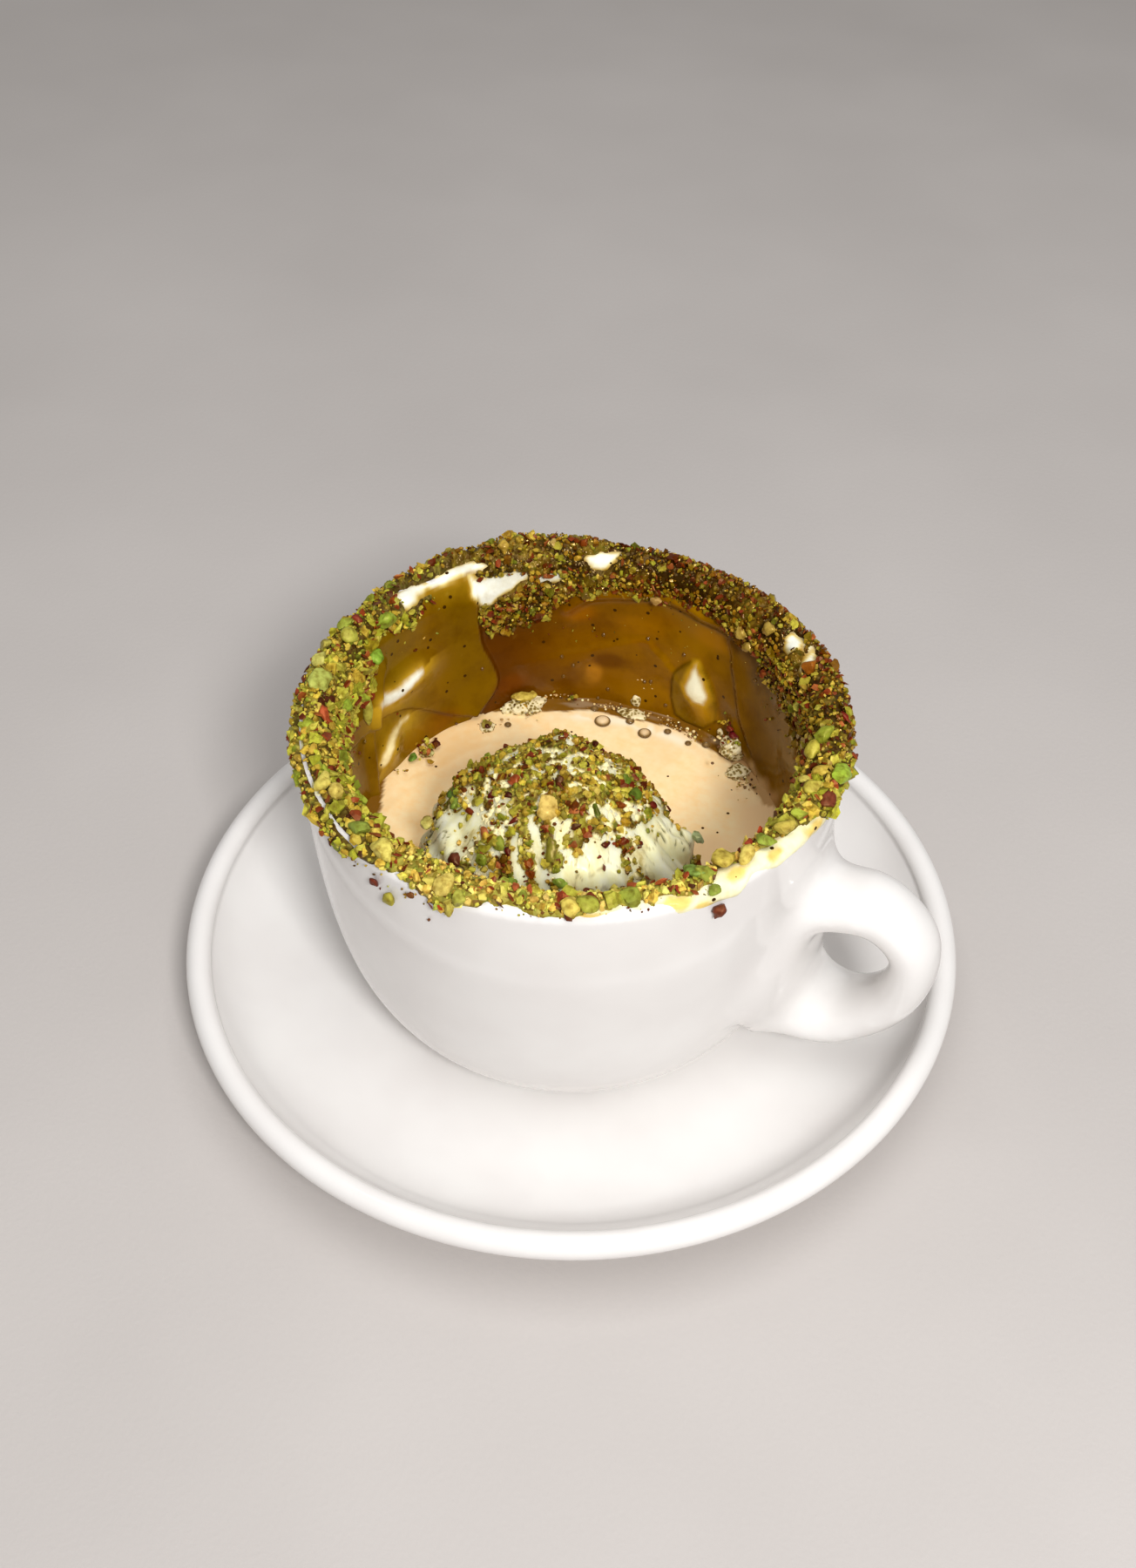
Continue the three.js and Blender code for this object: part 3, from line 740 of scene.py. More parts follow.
paste_colour = add(paste, "ShaderNodeMix", {"data_type": "RGBA"}, {
    "Factor": paste_speck.outputs[0], 6: paste_all.outputs[2], 7: linear("#3a2204")})
join(paste, paste_colour.outputs[2], paste_shader, "Base Color")
paste_grain = add(paste, "ShaderNodeTexNoise", links={
    "Vector": paste_place.outputs["Object"], "Scale": 1 / ground_size, "Detail": 3.0})
paste_bump = add(paste, "ShaderNodeBump", links={
    "Height": paste_grain.outputs["Fac"], "Strength": 0.25, "Distance": 0.15 * MM})
join(paste, paste_bump.outputs["Normal"], paste_shader, "Normal")

cream = piece("pistachio_cream_lining", to_mesh(cream_bm, "pistachio_cream_lining"), paste)
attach(cream, "root")
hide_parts("pistachio_cream")

# ----------------------------------------------------------------------------------------------
# Ice cream: one scoop of vanilla dropped in the coffee and starting to melt, so that it has
# slumped into folds that run down into the coffee.

scoop_lo, scoop_hi = (Vector(p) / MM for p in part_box("ice_cream"))
scoop_x, scoop_y = (scoop_lo.x + scoop_hi.x) / 2, (scoop_lo.y + scoop_hi.y) / 2
scoop_radius = 27.3
scoop_rise = scoop_hi.z - coffee_level
scoop_slope = 42.0  # mm along its side from the coffee to the top
scoop_sink = 12.0
scoop_fullness = 0.85  # below 1 the sides stand fuller
scoop_taper = 1.7  # above 1 the foot spreads


def on_scoop(turn_at, share):
    """Place in mm and outward normal on the scoop: turn_at in degrees round it, and share from
    0 at the coffee to 1 at the top, or below 0 under the coffee."""
    angle = np.radians(turn_at)
    climb = share * math.pi / 2
    drips = 0.6 * np.sin(5 * angle + 0.6) + 0.4 * np.sin(9 * angle + 2.1)
    reach = np.abs(np.cos(climb)) ** scoop_fullness * scoop_radius
    reach = reach * (1.0 + 0.035 * drips * np.cos(climb))
    rise = np.where(share > 0, scoop_rise * np.abs(np.sin(climb)) ** scoop_taper,
                    -scoop_sink * np.abs(np.sin(climb)) ** 1.3)
    return np.stack([scoop_x + reach * np.cos(angle), scoop_y + reach * np.sin(angle),
                     coffee_level + rise], axis=1)


def normals_of(place, turn_at, share):
    """Outward unit normals of the surface place(turn_at, share)."""
    along = place(turn_at + 0.5, share) - place(turn_at - 0.5, share)
    above = place(turn_at, np.minimum(share + 0.005, 0.999))
    below = place(turn_at, np.minimum(share, 0.994) - 0.005)
    across = np.cross(along, above - below)
    return across / (np.linalg.norm(across, axis=1, keepdims=True) + 1e-9)


scoop_swells = [  # degrees round, share of the height, half sizes, rise in mm
    (113, 0.80, 22.0, 0.10, 2.4), (196, 0.22, 30.0, 0.26, 3.4), (185, 0.58, 26.0, 0.16, 1.6),
    (168, 0.68, 20.0, 0.12, 1.0), (291, 0.66, 6.0, 0.12, 1.2), (31, 0.38, 9.0, 0.07, 1.6),
]


def scoop_folds(turn_at, share, points):
    """How far the melting folds stand out in mm."""
    low = eased(1.0 - share, 0.2, 0.75)
    stretched = points * np.array([1.0, 1.0, 0.2])
    folds = 2.6 * clouds(stretched, 6.0, 1.0) + 1.8 * clouds(stretched, 2.6, 4.0)
    heaped = sum(
        rise * np.exp(-(degrees_off(turn_at, at) / half) ** 2 - ((share - level) / half_up) ** 2)
        for at, level, half, half_up, rise in scoop_swells)
    return low * folds + 0.5 * clouds(points, 5.0, 9.0) + heaped


def scoop_patch(turn_at, share, centre, size):
    """As bump, at (degrees round, share of the height). Half sizes are as on the cup's wall."""
    return bump(turn_at, share * scoop_slope, (centre[0], centre[1] * scoop_slope), size)


scoop_rows = np.array([*np.linspace(-0.95, -0.1, 8), *np.linspace(-0.04, 0.985, 110)])
scoop_bm, turned, rows = band(420, len(scoop_rows))
share = scoop_rows[rows]
place = on_scoop(turned, share)
out = normals_of(on_scoop, turned, share)
place = place + out * scoop_folds(turned, share, place)[:, None]
# Fine seams run down between the folds. They are darkest on the left and the right flank.
upright = place * [1.0, 1.0, 0.16]
seam = np.exp(-(clouds(upright, 2.2, 57.0) / 0.045) ** 2) * eased(clouds(place, 5.0, 59.0), -0.15, 0.1)
flanks = scoop_patch(turned, share, (203, 20 / 42), (12.0, 9.0))
flanks = flanks + scoop_patch(turned, share, (32, 20 / 42), (20.0, 9.0))
seam = np.clip(seam * (0.45 + 1.2 * flanks), 0.0, 1.0)
put(scoop_bm, place - out * (0.35 * seam)[:, None])
store(scoop_bm, "seam", seam)
close_up(scoop_bm, capped=True)

streak_spacing = MM / 0.26  # the scraped streaks are 3.8 mm apart, and drawn out down the sides

# Churned cream and egg: light sinks in and comes out cream, under a damp sheen.
vanilla, vanilla_shader = surface("vanilla_ice_cream", {
    "IOR": 1.4, "Roughness": 0.28, "Specular Tint": linear("#ffeebc"),
    "Subsurface Weight": 0.7, "Subsurface Radius": (1.0, 1.0, 1.0), "Subsurface Scale": 3.0 * MM})
vanilla_place = add(vanilla, "ShaderNodeTexCoord")
vanilla_run = add(vanilla, "ShaderNodeMapping", links={
    "Vector": vanilla_place.outputs["Object"], "Scale": (1.0, 1.0, 0.3)})
vanilla_streak = add(vanilla, "ShaderNodeTexNoise", links={
    "Vector": vanilla_run.outputs["Vector"], "Scale": 1 / streak_spacing, "Detail": 4.0,
    "Roughness": 0.6})
vanilla_tone = add(vanilla, "ShaderNodeValToRGB", links={"Fac": vanilla_streak.outputs["Fac"]}, stops=[
    (0.30, "#cdbb78"), (0.40, "#f6eab2"), (0.50, "#fff6c6"), (0.75, "#fffbe0")])
vanilla_seam = add(vanilla, "ShaderNodeAttribute", {"attribute_name": "seam"})
vanilla_colour = add(vanilla, "ShaderNodeMix", {"data_type": "RGBA"}, {
    "Factor": vanilla_seam.outputs["Fac"], 6: vanilla_tone.outputs["Color"], 7: linear("#757440")})
join(vanilla, vanilla_colour.outputs[2], vanilla_shader, "Base Color")
vanilla_bump = add(vanilla, "ShaderNodeBump", links={
    "Height": vanilla_streak.outputs["Fac"], "Strength": 0.3, "Distance": 0.4 * MM})
join(vanilla, vanilla_bump.outputs["Normal"], vanilla_shader, "Normal")

scoop = piece("vanilla_scoop", to_mesh(scoop_bm, "vanilla_scoop"), vanilla)
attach(scoop, "root")
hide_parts("ice_cream")

# ----------------------------------------------------------------------------------------------
# Coffee: espresso stirred up with the melting ice cream to a smooth tan crema, which creeps up
# a little where it meets the cream and the scoop, and still has darker streaks on the left.

coffee_radius = inner_radius - 0.5  # it goes on into the cream, so that no gap shows
coffee_rows = np.array([*np.linspace(0.2, 10.0, 5), *np.arange(11.0, coffee_radius, 0.5), coffee_radius])
under_rows = np.array([coffee_radius - 0.4, 44.0, 38.0, 24.0, 10.0, 0.2])
under_heights = np.array([coffee_level - 2.0, 24.0, 16.5, 14.2, 14.0, 14.0])
coffee_bm, turned, rows = band(360, len(coffee_rows) + len(under_rows))
top = rows < len(coffee_rows)
radius = np.concatenate([coffee_rows, under_rows])[rows]
height = np.concatenate([np.full(len(coffee_rows), coffee_level), under_heights])[rows]
points = round_at(turned, radius, height)
off_x, off_y = points[:, 0] - scoop_x, points[:, 1] - scoop_y
from_scoop = np.hypot(off_x, off_y) - scoop_radius
to_wall = inner_radius - cream_thickness - radius
creep = 0.7 * np.exp(-np.maximum(to_wall, 0) / 1.4) + 0.55 * np.exp(-np.maximum(from_scoop, 0) / 0.9)
ripple = 0.25 * clouds(points, 16.0, 2.0) + 0.06 * clouds(points, 5.0, 6.0)
height = np.where(top, height - 0.25 + creep + ripple, height)
put_round(coffee_bm, turned, radius, height)

# Streaks on the left are drawn out round the scoop, and paler blotches lie on the right.
round_scoop = np.arctan2(off_y, off_x)
drawn_out = np.stack([from_scoop + 2.5 * clouds(points, 14.0, 8.0),
                      7.0 * np.cos(round_scoop), 7.0 * np.sin(round_scoop)], axis=1)
left_side = eased(-off_x - 0.4 * off_y, 2.0, 24.0)
streak = eased(clouds(drawn_out, 4.4, 1.0) + 0.4 * clouds(drawn_out, 1.7, 5.0), -0.1, 0.5)
streak = 0.34 * streak * left_side
right_side = eased(points[:, 0], 2.0, 30.0)
blotch = eased(clouds(points, 11.0, 12.0), -0.1, 0.35) * (0.35 + 0.65 * right_side)

# A thin dark film of coffee lies along the wall, with froth on it. At the right it is peach.
film_end = 62.0  # degrees round, where the dark film ends and the peach one begins
film_edge = round_the_rim(turned, [
    (36, 48), (43, 41.2), (50, 40.5), (56, 41.2), (62, 41.2), (72, 40.3), (80, 40.8), (88, 40.4),
    (99, 39.4), (110, 40.4), (121, 39.9), (130, 41), (139, 42.8), (147, 45.4), (160, 46), (183, 42.5),
    (190, 40.6), (198, 40.4), (206, 44), (215, 48)]) + 0.5 * clouds(points, 3.0, 51.0)
film_share = eased(radius, film_edge - 0.2, film_edge + 0.25)
dark_film = np.maximum(0.6 * np.exp(-np.maximum(to_wall, 0)), film_share * (turned > film_end))
behind = eased(turned, 66.0, 80.0) * eased(turned, 128.0, 112.0) * np.exp(-((radius - 38.4) / 1.5) ** 2)
froth_line = behind * eased(clouds(points, 2.4, 14.0), -0.3, 0.1) * (1.0 - film_share)
along_wall = np.stack([radius, turned * 0.12, np.zeros(len(turned))], axis=1)
foam_streak = film_share * (turned > film_end) * (turned < 130.0)
foam_streak = foam_streak * eased(clouds(along_wall, 1.3, 53.0), 0.12, 0.4)
pale_froth = np.clip(0.9 * froth_line + 0.14 * foam_streak, 0.0, 1.0)
store(coffee_bm, "peach_film", film_share * (turned <= film_end))
store(coffee_bm, "coffee_tones", np.stack([streak, blotch, dark_film, pale_froth], axis=1))
close_up(coffee_bm, capped=True)

crema_grain = 2.0 * MM  # spacing of its fine clouds and pores
ground_spacing = MM / 0.33  # coffee grounds up to 0.7 mm across, in cells of 3 mm
ground_reach, ground_share = 0.11, 0.26  # as for the specks of skin in the cream

# Coffee whipped up with milk fat: a smooth satin skin, a little pored, with fine grounds.
crema, crema_shader = surface("coffee_crema", {"IOR": 1.36, "Roughness": 0.22})
crema_place = add(crema, "ShaderNodeTexCoord")
crema_tones = add(crema, "ShaderNodeAttribute", {"attribute_name": "coffee_tones"})
crema_shares = add(crema, "ShaderNodeSeparateColor", links={"Color": crema_tones.outputs["Color"]})
crema_fine = add(crema, "ShaderNodeTexNoise", links={
    "Vector": crema_place.outputs["Object"], "Scale": 1 / crema_grain, "Detail": 4.0})
crema_base = add(crema, "ShaderNodeValToRGB", links={"Fac": crema_fine.outputs["Fac"]}, stops=[
    (0.3, "#ffda9e"), (0.7, "#ffe6b4")])
crema_peach = add(crema, "ShaderNodeAttribute", {"attribute_name": "peach_film"})
crema_cells = add(crema, "ShaderNodeTexVoronoi", links={
    "Vector": crema_place.outputs["Object"], "Scale": 1 / ground_spacing})
crema_near = add(crema, "ShaderNodeMath", {"operation": "LESS_THAN"}, {
    0: crema_cells.outputs["Distance"], 1: ground_reach})
crema_pick = add(crema, "ShaderNodeSeparateColor", links={"Color": crema_cells.outputs["Color"]})
crema_few = add(crema, "ShaderNodeMath", {"operation": "LESS_THAN"}, {
    0: crema_pick.outputs["Red"], 1: ground_share})
crema_speck = add(crema, "ShaderNodeMath", {"operation": "MULTIPLY"}, {
    0: crema_near.outputs[0], 1: crema_few.outputs[0]})
crema_colour = crema_base.outputs["Color"]
for share, colour in [
    (crema_shares.outputs["Green"], "#fad6a2"),  # blotches
    (crema_shares.outputs["Red"], "#e2b26a"),  # streaks
    (crema_shares.outputs["Blue"], "#7c5212"),  # the dark film
    (crema_tones.outputs["Alpha"], "#fff4d6"),  # froth
    (crema_peach.outputs["Fac"], "#c29a66"),  # the peach film
    (crema_speck.outputs[0], "#4a2c10"),  # grounds
]:
    crema_colour = add(crema, "ShaderNodeMix", {"data_type": "RGBA"}, {
        "Factor": share, 6: crema_colour, 7: linear(colour)}).outputs[2]
join(crema, crema_colour, crema_shader, "Base Color")
crema_bump = add(crema, "ShaderNodeBump", links={
    "Height": crema_fine.outputs["Fac"], "Strength": 0.1, "Distance": 0.1 * MM})
join(crema, crema_bump.outputs["Normal"], crema_shader, "Normal")

coffee = piece("coffee_body", to_mesh(coffee_bm, "coffee_body"), crema)
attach(coffee, "root")
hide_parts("coffee")

# ----------------------------------------------------------------------------------------------
# Nut crust on the rim and on the scoop: ground pistachios pressed on while the cream was wet.
# What is finer than a grain is the bumpy bed, and the broken nuts lie on it.

crust_start = [  # degrees round, u of the outer edge
    (0, -1.6), (30, -1.0), (60, -0.8), (90, -0.7), (120, -1.2), (150, -1.0), (172, -0.2), (190, 0.2),
    (208, -1.6), (229, -2.0), (245, -2.6), (249, -0.4), (256, 0.2), (260, 1.2), (265, 0.0), (271, -2.0),
    (276, 0.0), (280, 2.0), (290, 1.6), (296, 0.4), (300, 1.8), (308, 2.8), (316, 2.0), (319, 1.2),
    (325, 2.2), (329, 4.8), (334, 3.8), (343, 3.0), (350, 1.8), (356, -0.2), (359, -2.0),
]
crust_end = [  # degrees round, height of the lower edge inside
    (0, 66), (18, 64), (25, 62), (31, 60), (43, 63.5), (51, 62.6), (58, 63), (61, 66.5), (68, 67),
    (74, 68), (80, 69.5), (94, 68), (109, 68), (116, 66.8), (120, 64), (124, 61), (128, 59.3),
    (134, 58.5), (139, 59.5), (142.5, 63.5), (144, 69), (146, 74.3), (157, 74.3), (159, 71), (163, 70),
    (168, 71.5), (176, 73), (179, 66), (183, 62.5), (188, 64), (197, 60), (220, 62), (300, 66),
    (340, 66),
]
# A line of bare glaze shows at the left (degrees round, u), and runs off the rim at both ends.
glaze_line = [(196, -9), (204, 1.5), (211, 1.8), (225, 1.7), (239, 1.6), (250, 1.0), (254, -9)]
glaze_half = 0.36
unstuck = [  # outlines in degrees round and u where no nuts stuck
    [(157, 4.6), (152, 4.8), (143.6, 5.0), (142.4, 9), (143.0, 16), (156, 16), (153, 11), (150.5, 7.4),
     (153, 6.2)],
    [(162.5, 13), (161, 9.0), (157.6, 7.4), (156.8, 14)],
]
wall_height = line_height[::-1][:hollow_places + 1]  # up the inside of the wall
wall_u = line_run[::-1][:hollow_places + 1]


def rim_cover(azimuth, u, points):
    """1 where the rim's crust is full, 0 where there are no nuts."""
    start = round_the_rim(azimuth, crust_start) + 1.3 * clouds(points, 2.6, 11.0)
    end = np.interp(round_the_rim(azimuth, crust_end), wall_height, wall_u)
    end = end + 2.6 * clouds(points, 3.0, 15.0)
    cover = eased(u, start, start + 1.0) * eased(u, end, end - 1.2)
    ragged = 0.7 * clouds(points, 1.6, 19.0)
    for outline in highlit_bare_patches + unstuck:
        off = inside(azimuth % 360.0 * wall_scale, u, [(a * wall_scale, along) for a, along in outline])
        cover = cover * eased(-off + ragged, -0.1, 0.6)
    line = np.abs(u - round_the_rim(azimuth, glaze_line)) - glaze_half
    return cover * eased(line + 0.3 * ragged, -0.1, 0.3)


def on_crust(azimuth, u):
    """Places in mm on the cream at u along the rim line, and the normals there."""
    radius, height, out_r, out_z = on_cup(u)
    normal = round_at(azimuth, out_r, out_z)
    depth = 0.6 + (cream_thickness - 0.6) * eased(u, 4.0, 10.0)
    return round_at(azimuth, radius, height) + normal * depth[:, None], normal


def swell(azimuth, u):
    """How far the crust has its full thickness: it is thinner outside the rim, but for the back
    left where the nuts are heaped."""
    flat = 0.45 * eased(azimuth, 278.0, 292.0) * eased(azimuth, 350.0, 335.0)
    heaped = eased(azimuth, 104.0, 122.0) * eased(azimuth, 170.0, 152.0) * np.exp(-((u - 0.8) / 2.4) ** 2)
    return (0.25 + 0.75 * eased(u, 0.0, 4.0)) * (1.0 - flat) + 1.2 * heaped


def wetness(azimuth):
    """0 for dry crumb, 1 for nuts sunk in wet cream, as at the back."""
    back = (1.0 - 0.2 * eased(azimuth, 96.0, 110.0)) * eased(azimuth, 66.0, 78.0)
    right = (0.75 + 0.2 * eased(azimuth, 34.0, 50.0)) * eased(azimuth, 4.0, 20.0)
    left = 0.25 * eased(azimuth, 140.0, 150.0) * eased(azimuth, 205.0, 170.0)
    back, right = back * eased(azimuth, 152.0, 142.0), right * eased(azimuth, 78.0, 66.0)
    return np.clip(back + right + left, 0.0, 1.0)


def front_painted_light(azimuth):
    """1 at the front of the rim, where painted light makes the crumb paler."""
    return eased(azimuth % 360.0, 250.0, 270.0) * eased(azimuth % 360.0, 356.0, 340.0)


def pebbles(points, size):
    """Rounded lumps from 0 to 1, about size mm across."""
    return np.array([1.0 - min(noise.voronoi(Vector(p) / size)[0][0] * 1.6, 1.0) for p in points])


grain_size = MM / 1.15  # each 0.9 mm grain of the bed has its own colour

# Kernels ground in wet cream: grains of many tones, darker and shinier where it is wet, with painted
# shade in the hollows between lumps.
nut_paste, nut_paste_shader = surface("ground_pistachio", {
    "IOR": 1.45, "Roughness": 0.5, "Specular Tint": linear("#ffd890")})
bed_place = add(nut_paste, "ShaderNodeTexCoord")
bed_cells = add(nut_paste, "ShaderNodeTexVoronoi", links={
    "Vector": bed_place.outputs["Object"], "Scale": 1 / grain_size})
bed_pick = add(nut_paste, "ShaderNodeSeparateColor", links={"Color": bed_cells.outputs["Color"]})
bed_tone = add(nut_paste, "ShaderNodeValToRGB", links={"Fac": bed_pick.outputs["Red"]}, stops=[
    (0.0, "#5a3a10"), (0.2, "#8a7424"), (0.4, "#9c8c30"), (0.6, "#b4a844"), (0.78, "#84892c"),
    (0.9, "#c8b858"), (1.0, "#5e2412")])
# Painted shade: the bed goes towards dark brown where the hollow attribute is high.
bed_hollow_shade = add(nut_paste, "ShaderNodeAttribute", {"attribute_name": "hollow"})
bed_shaded = add(nut_paste, "ShaderNodeMix", {"data_type": "RGBA"}, {
    "Factor": bed_hollow_shade.outputs["Fac"], 6: bed_tone.outputs["Color"], 7: linear("#341c06")})
bed_wet = add(nut_paste, "ShaderNodeAttribute", {"attribute_name": "wetness"})
bed_dark = add(nut_paste, "ShaderNodeMix", {"data_type": "RGBA", "blend_type": "MULTIPLY"}, {
    "Factor": bed_wet.outputs["Fac"], 6: bed_shaded.outputs[2], 7: linear("#a88448")})
bed_veins = add(nut_paste, "ShaderNodeAttribute", {"attribute_name": "cream_veins"})
bed_colour = add(nut_paste, "ShaderNodeMix", {"data_type": "RGBA"}, {
    "Factor": bed_veins.outputs["Fac"], 6: bed_dark.outputs[2], 7: linear("#fbeeb6")})
join(nut_paste, bed_colour.outputs[2], nut_paste_shader, "Base Color")
bed_gloss = add(nut_paste, "ShaderNodeMapRange", links={
    "Value": bed_wet.outputs["Fac"], "To Min": 0.62, "To Max": 0.16})
join(nut_paste, bed_gloss.outputs["Result"], nut_paste_shader, "Roughness")
bed_bump = add(nut_paste, "ShaderNodeBump", {"invert": True}, {
    "Height": bed_cells.outputs["Distance"], "Strength": 0.6, "Distance": 0.4 * MM})
join(nut_paste, bed_bump.outputs["Normal"], nut_paste_shader, "Normal")

# The bed's rows run over the crust and back under it. Where no nuts stuck it dives into the cream.
bed_shown = np.arange(-3.0, 27.0, 0.45)
bed_u = np.array([*bed_shown, 26.0, 12.0, 3.0, -2.8])
bed_sunk = -1.2
bed_bm, turned, rows = band(640, len(bed_u))
u = bed_u[rows]
place, out = on_crust(turned, u)
cover = rim_cover(turned, u, place)
lump = 0.9 * clouds(place, 7.0, 21.0) + 0.8 * pebbles(place, 1.25)
lift = cover * swell(turned, u) * (0.75 + lump) - (1.0 - cover)
lift = np.where((rows == 0) | (rows >= len(bed_shown) - 1), bed_sunk, lift)
put(bed_bm, place + out * lift[:, None])
store(bed_bm, "wetness", wetness(turned))
# Painted shade in the hollows between lumps, weaker at the front of the rim.
store(bed_bm, "hollow", (0.85 - 0.6 * front_painted_light(turned)) * eased(lump, 0.6, 0.1))
close_up(bed_bm)
rim_bed = piece("rim_nut_bed", to_mesh(bed_bm, "rim_nut_bed"), nut_paste)
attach(rim_bed, "root")
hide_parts("rim_nuts")

# The cap on the scoop has melted through in places, and runs of ice cream cross it.
melted = [  # outlines in degrees round the scoop and share of its height: bare ice cream
    [(207, 0.34), (204, 0.46), (204, 0.53), (212, 0.61), (222, 0.65), (230, 0.61), (232, 0.54),
     (229, 0.47), (223, 0.38)],
    [(297, 0.62), (306, 0.67), (318, 0.71), (333, 0.69), (338, 0.63), (338, 0.53), (330, 0.47),
     (310, 0.47), (297, 0.55)],
    [(4, 0.64), (15, 0.62), (24, 0.58), (31, 0.60), (40, 0.61), (46, 0.58), (44, 0.50), (37, 0.40),
     (34, 0.30), (0, 0.32), (350, 0.46), (344, 0.55), (350, 0.58), (357, 0.61)],
]
melt_streaks = [  # points on the streak, half width in degrees round
    ([(216, 0.60), (212, 0.64), (206, 0.67), (200, 0.72), (198, 0.78)], 5.0),
    ([(266, 0.79), (274.5, 0.75), (281, 0.70), (285, 0.65), (288, 0.58), (289, 0.46)], 3.6),
    ([(261, 0.70), (265, 0.66), (270, 0.60), (276, 0.58), (283, 0.54)], 2.4),
    ([(66, 0.74), (55, 0.66), (49, 0.60), (39, 0.56), (32, 0.48)], 4.5),
]


def scoop_cover(turn_at, share, points):
    """1 where the scoop is covered with nuts, 0 where it is bare."""
    turn_at = turn_at % 360.0
    scale = 0.36  # mm to a degree round, halfway up
    low = 0.30 + 0.12 * np.cos(np.radians(turn_at - 285.0)) + 0.30 * clouds(points, 3.0, 25.0)
    cover = eased(share, low, low + 0.12)
    ragged = 2.4 * clouds(points, 2.2, 29.0) + 1.4 * clouds(points, 1.1, 31.0)
    for outline in melted:
        across_zero = outline[0][0] < 20
        at = np.where(turn_at > 343.0, turn_at - 360.0, turn_at) if across_zero else turn_at
        ring = [((a - 360.0 if across_zero and a > 340 else a) * scale, level * scoop_slope)
                for a, level in outline]
        cover = cover * eased(-inside(at * scale, share * scoop_slope, ring) + ragged, -0.5, 0.9)
    for line, half in melt_streaks:
        at, level = np.array(line).T
        beside_it = np.abs(turn_at - np.interp(share, level[::-1], at[::-1])) / half
        beside_it = np.where((share > level[-1] - 0.02) & (share < level[0] + 0.02), beside_it, 9.0)
        cover = cover * eased(beside_it + 0.35 * ragged, 0.7, 1.2)
    return cover


cap_shown = 120
cap_rows = np.array([*np.linspace(0.02, 0.985, cap_shown), *np.linspace(0.97, 0.04, 6)])
cap_sunk = -2.6
cap_bm, turned, rows = band(300, len(cap_rows))
share = cap_rows[rows]
place = on_scoop(turned, share)
out = normals_of(on_scoop, turned, share)
cover = scoop_cover(turned, share, place)
lump = pebbles(place, 1.1)
lift = scoop_folds(turned, share, place) + np.where(
    rows < cap_shown, cover * (0.1 + 0.9 * lump) - 1.2 * (1.0 - cover), cap_sunk)
milky = sum(strength * scoop_patch(turned, share, centre, size) for centre, size, strength in [
    ((240, 0.62), (19.0, 6.0), 1.0), ((215, 0.70), (16.0, 5.0), 1.0),
    ((318, 0.62), (30.0, 5.0), 0.8), ((112, 0.82), (20.0, 3.0), 0.8),
])
veins = clouds(place * [1.0, 1.0, 0.6], 2.2, 37.0) - 0.22 * lump + 0.42 * np.clip(milky, 0.0, 1.0)
veins = eased(veins + 0.6 * (1.0 - cover), 0.12, 0.24)
place = place + out * (lift - 0.2 * veins)[:, None]
put(cap_bm, place)
store(cap_bm, "wetness", np.clip(0.2 + 0.4 * clouds(place, 6.0, 33.0), 0.0, 1.0))
# Painted shade in the hollows between the cap's lumps.
store(cap_bm, "hollow", 0.5 * eased(lump, 0.4, 0.0))
store(cap_bm, "cream_veins", veins)
close_up(cap_bm, capped=True)
scoop_bed = piece("scoop_nut_bed", to_mesh(cap_bm, "scoop_nut_bed"), nut_paste)
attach(scoop_bed, "root")
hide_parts("scoop_nuts")

# ----------------------------------------------------------------------------------------------
# Broken pistachios: dry kernels chopped to bits from fine crumb to thirds of a nut, green at the
# heart and yellow where they browned, with flakes of their purple-brown skins.

rng = np.random.default_rng(41)


def squeezed(co, size):
    """The vector with its three parts scaled by size."""
    return Vector([part * scale for part, scale in zip(co, size)])


def break_off(bm, size, cuts, shallow, deep, seed):
    """Cuts flat breaks off a bit of that size, each at a share of its reach from the middle."""
    draw = np.random.default_rng(seed)
    for _ in range(cuts):
        face = Vector(draw.normal(size=3)).normalized()
        reach = squeezed(face, size).length
        cut = bmesh.ops.bisect_plane(
            bm, geom=[*bm.verts, *bm.edges, *bm.faces], plane_no=face, clear_outer=True,
            plane_co=face * reach * draw.uniform(shallow, deep))
        rim = [e for e in cut["geom_cut"] if isinstance(e, bmesh.types.BMEdge)]
        if rim:
            bmesh.ops.edgenet_fill(bm, edges=rim)


def as_arrays(bm):
    """The bmesh's corners and faces as arrays, with the bmesh freed."""
    bm.verts.ensure_lookup_table()
    corners = np.array([v.co[:] for v in bm.verts])
    faces = np.array([[v.index for v in f.verts] for f in bm.faces])
    bm.free()
    return corners, faces


def broken_bit(rounds, size, cuts, rough, seed):
    """Corners and triangles of one bit about 1 across: a ball squeezed to size, roughened and
    cut by flat breaks."""
    bm = bmesh.new()
    bmesh.ops.create_icosphere(bm, subdivisions=rounds, radius=0.5)
    for vert in bm.verts:
        push = 1.0 + rough * noise.noise(vert.co * 3.1 + Vector((seed, 0.0, 0.0)))
        vert.co = squeezed(vert.co, size) * push
    break_off(bm, size, cuts, 0.22, 0.36, seed)
    bmesh.ops.remove_doubles(bm, verts=bm.verts, dist=0.02)
    bmesh.ops.triangulate(bm, faces=bm.faces)
    bmesh.ops.recalc_face_normals(bm, faces=bm.faces)
    return as_arrays(bm)


